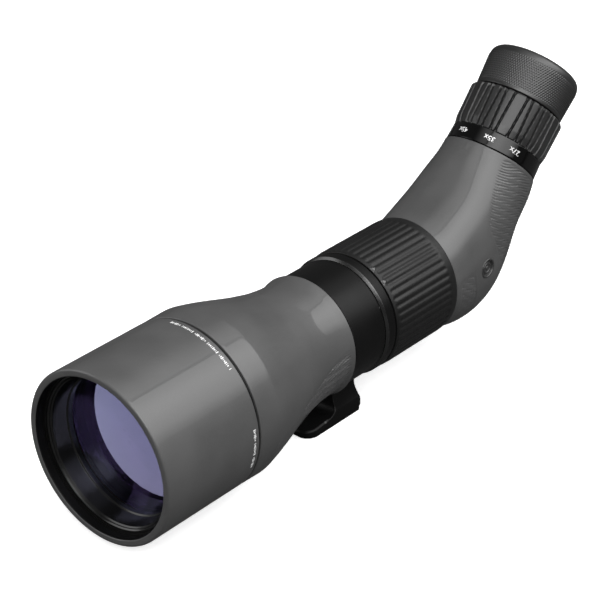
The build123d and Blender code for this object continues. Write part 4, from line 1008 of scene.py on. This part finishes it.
def lock_knob():
    joint = JOINTS["lock_knob_turn"]
    out = np.array(joint["axis"])
    mesh = NODES["collar_lock_knob"].data
    co = np.array([v.co for v in mesh.vertices])
    along = co @ out
    middle = np.array(joint["pos_m"])
    seat = middle + out * (along.min() - middle @ out)
    height = (along.max() - along.min()) / MM
    from_axis = co - middle - ((co - middle) @ out)[:, None] * out
    r = np.linalg.norm(from_axis, axis=1).max() / MM
    outline = split(np.array((
        (0.0, 0.0),
        (0.0, 4.6),
        (0.25, 4.9),
        (2.0, 4.9),
        (2.6, r - 0.5),
        (3.1, r - 0.1),
        (3.6, r),
        (height - 1.4, r),
        (height - 0.7, r - 0.25),
        (height - 0.2, r - 0.8),
        (height, r - 1.6),
        (height, r - 3.2),
        (height - 0.7, r - 3.7),
        (height - 0.9, 0.0),
    )), 0.5, closed=False)

    def shape(station, radius, angle):
        scallop = 0.5 + 0.5 * np.cos(angle * KNOB_LOBES)
        side = smooth((station - 2.2) / 1.2) * smooth((height + 0.1 - station) / 1.2)
        return radius - KNOB_SCALLOP * scallop ** 2 * side * (radius > r - 2.0)

    materials = [MATERIALS["black_plastic"]]
    piece = plug("lock_knob_cap", "lock_knob", seat, out, outline, materials, 200, shape)
    finish_as(piece, "black_plastic", "collar_lock_knob")


# ============================================================ tripod collar
COLLAR_VOXEL = 0.45
COLLAR_ROUNDS = 4         # of smoothing


def softened(name, body, node, look, slot):
    """A CAD node's shape with its edges eased, as one closed mesh."""
    piece = bpy.data.objects.new(name, NODES[node].data.copy())
    bpy.context.scene.collection.objects.link(piece)
    remesh = piece.modifiers.new("remesh", "REMESH")
    remesh.mode = "VOXEL"
    remesh.voxel_size = COLLAR_VOXEL * MM
    relax = piece.modifiers.new("relax", "SMOOTH")
    relax.factor = 0.5
    relax.iterations = COLLAR_ROUNDS
    made = evaluated_mesh(piece)
    piece.modifiers.clear()
    piece.data = made
    made.name = name
    made.materials.clear()
    made.materials.append(MATERIALS[look])
    made.shade_smooth()
    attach(piece, body)
    return finish_as(piece, slot, node)


# ============================================================ objective glass
def retainer():
    front, rear, r = BARREL.reach("objective_retainer")
    bore = BARREL.places("objective_retainer")[1].min()
    outline = rounded(
        (front, r, 0.3),
        (rear, r, 0.2),
        (rear, bore, 0.25),
        (rear - 3.4, bore, 0.25),
        (rear - 3.9, bore + 0.9, 0.25),
        (front + 1.9, bore + 2.2, 0.3),
        (front + 1.3, bore + 3.0, 0.3),
        (front + 0.7, bore + 3.1, 0.2),
        (front, bore + 3.8, 0.1),
        step=0.6,
    )
    materials = [MATERIALS["ring_black"]]
    piece = turned("objective_ring", "scope", BARREL, outline, materials, turns=300)
    finish_as(piece, "black_metal", "objective_retainer")


def dome(station, rim_station, rim, count):
    """Rows of a spherical cap's outline from its pole to its rim."""
    sag = abs(rim_station - station)
    ball = (rim * rim + sag * sag) / (2 * sag)
    turn = np.linspace(0, math.asin(rim / ball), count)
    rise = (ball - ball * np.cos(turn)) * np.sign(rim_station - station)
    return np.stack((station + rise, ball * np.sin(turn)), 1)


def front_lens():
    low, high, rim = BARREL.reach("objective_front_lens")
    station, radius = BARREL.places("objective_front_lens")
    edge = radius > rim - 0.05
    front_edge, back_edge = station[edge].min(), station[edge].max()
    front = dome(low, front_edge, rim, 40)
    back = dome(high, back_edge, rim, 40)[::-1]
    outline = np.concatenate((front, back))
    start = BARREL.points(0.0, 0.0, 0.0)
    materials = [MATERIALS["front_coating"], MATERIALS["glass_back"]]
    piece = plug("objective_glass", "scope", start, BARREL.along, outline, materials, turns=160)
    for face in piece.data.polygons:
        face.material_index = int(face.center.y > front_edge * MM)
    finish_as(piece, "coated_glass", "objective_front_lens")


hood()
taper_armour()
front_lens()
flange()
focus_grip()
housing_armour()
purge_plug()
scale_ring()
zoom_grip()
eyecup()
lock_knob()
retainer()
softened("collar_body", "collar", "tripod_collar", "collar_black", "satin_black")


# ===================================================== studio, lights, camera
VIEW_AZIMUTH = math.radians(40.78)
VIEW_ELEVATION = math.radians(29.0)
VIEW_ROLL = math.radians(-0.56)
VIEW_DISTANCE = 1.089
VIEW_AIM = Vector((0.0536, -0.0720, 0.1276))
LENS = 127.4
FLOOR_HALF = 6.0
FLOOR_BOUNCE = 0.06       # the floor looks pale, but throws little light back up
FLOOR_GLOW = 0.6          # evens out the shadow that the camera sees
FAR_FLOOR_GLOW = 0.94     # lets the far floor run into the sky
FADE_START = 0.5          # metres from the middle of the floor
FADE_END = 2.5
SKY_LIGHT = 0.11
SKY_SEEN = 0.95
FILL_DISTANCE = 1.5


def floor():
    n = Nodes("studio_floor")
    mottle = n.mix(n.noise(90.0), grey(0.86), grey(0.90))
    path = n.add("ShaderNodeLightPath")
    to_camera, by_mirror = path.outputs["Is Camera Ray"], path.outputs["Is Singular Ray"]
    tone = n.mix(n.math("MAXIMUM", to_camera, by_mirror), grey(FLOOR_BOUNCE), mottle)
    n.set(Base_Color=tone, Roughness=0.85, Normal=n.bump(n.noise(3.0), 0.05))
    distance = n.add("ShaderNodeVectorMath")
    distance.operation = "LENGTH"
    n.put(distance.inputs[0], n.place)
    fade = n.span(distance.outputs["Value"], FLOOR_GLOW, FAR_FLOOR_GLOW, FADE_START, FADE_END)
    glow = n.math("ADD", n.math("MULTIPLY", to_camera, fade), by_mirror)
    n.set(Emission_Color=grey(1.0), Emission_Strength=glow)
    corners = [(x * FLOOR_HALF, y * FLOOR_HALF, 0) for x, y in BOX_CORNERS]
    mesh = bpy.data.meshes.new("floor")
    mesh.from_pydata(corners, [], [(0, 1, 2, 3)])
    mesh.materials.append(n.material)
    plane = bpy.data.objects.new("floor", mesh)
    plane.location.z = cad_low.z - 0.0002
    bpy.context.scene.collection.objects.link(plane)


def fade_lamp(lamp, stops):
    """The lamp's light follows the stops of (place across its width, share of full strength)."""
    lamp.use_nodes = True
    tree = lamp.node_tree
    place = tree.nodes.new("ShaderNodeNewGeometry").outputs["Parametric"]
    across = tree.nodes.new("ShaderNodeSeparateXYZ")
    tree.links.new(place, across.inputs[0])
    ramp = tree.nodes.new("ShaderNodeValToRGB")
    ramp.color_ramp.interpolation = "EASE"
    tree.links.new(across.outputs["X"], ramp.inputs["Fac"])
    points = ramp.color_ramp.elements
    while len(points) < len(stops):
        points.new(1.0)
    for point, (at, share) in zip(points, stops):
        point.position = at
        point.color = (share, share, share, 1)
    tree.links.new(ramp.outputs["Color"], tree.nodes["Emission"].inputs["Strength"])


def softbox(name, place, width, length, power, aim, stops=None):
    """A rectangular lamp that faces aim, its long side along Y."""
    lamp = bpy.data.lights.new(name, "AREA")
    lamp.shape = "RECTANGLE"
    lamp.size = width
    lamp.size_y = length
    lamp.energy = power
    if stops:
        fade_lamp(lamp, stops)
    holder = bpy.data.objects.new(name, lamp)
    holder.location = place
    back = (Vector(place) - Vector(aim)).normalized()
    right = Vector((0, 1, 0)).cross(back).normalized()
    long_side = back.cross(right)
    turn = [list(pair) for pair in zip(right, long_side, back)]
    holder.rotation_euler = Matrix(turn).to_euler()
    holder.visible_camera = False
    bpy.context.scene.collection.objects.link(holder)


def overhead(name, start, stop, power, stops, distance=1.4, length=4.0):
    """A long softbox over the scope, from one elevation above +X to another."""
    middle = math.radians((start + stop) / 2)
    width = 2 * distance * math.tan(math.radians(stop - start) / 2)
    centre = (cad_low + cad_high) / 2
    place = centre + distance * Vector((math.cos(middle), 0, math.sin(middle)))
    softbox(name, place, width, length, power, centre, stops)


def fill(name, direction, size, power):
    """A small square lamp."""
    centre = (cad_low + cad_high) / 2
    softbox(name, centre + FILL_DISTANCE * Vector(direction), size, size, power, centre)


def world():
    sky = bpy.data.worlds.new("studio")
    bpy.context.scene.world = sky
    sky.use_nodes = True
    tree = sky.node_tree
    back = tree.nodes["Background"]
    seen = tree.nodes.new("ShaderNodeLightPath")
    strength = tree.nodes.new("ShaderNodeMix")
    strength.data_type = "FLOAT"
    strength.inputs[2].default_value = SKY_LIGHT
    strength.inputs[3].default_value = SKY_SEEN
    tree.links.new(seen.outputs["Is Camera Ray"], strength.inputs[0])
    tree.links.new(strength.outputs[0], back.inputs["Strength"])
    back.inputs["Color"].default_value = (1, 1, 1, 1)


def camera():
    lens = bpy.data.cameras.new("camera")
    lens.lens = LENS
    lens.sensor_width = 36
    lens.clip_start = 0.05
    lens.clip_end = 50
    back = Vector((
        math.sin(VIEW_AZIMUTH) * math.cos(VIEW_ELEVATION),
        -math.cos(VIEW_AZIMUTH) * math.cos(VIEW_ELEVATION),
        math.sin(VIEW_ELEVATION),
    ))
    holder = bpy.data.objects.new("camera", lens)
    holder.location = VIEW_AIM + back * VIEW_DISTANCE
    turn = (-back).to_track_quat("-Z", "Y")
    holder.rotation_mode = "QUATERNION"
    holder.rotation_quaternion = turn @ Quaternion((0, 0, 1), VIEW_ROLL)
    bpy.context.scene.collection.objects.link(holder)
    bpy.context.scene.camera = holder


floor()
overhead("key", 20, 78.2, 76, ((0.0, 0.72), (0.35, 0.98), (0.7, 0.75), (1.0, 0.2)))
overhead("top", 81.8, 118, 12, ((0.0, 0.0), (0.8, 1.0)))
fill("front", (0.33, -0.74, 0.58), 0.6, 4.0)
fill("far_side", (-0.74, -0.60, 0.30), 0.9, 5.0)
world()
camera()
bpy.context.scene.view_settings.view_transform = "Standard"
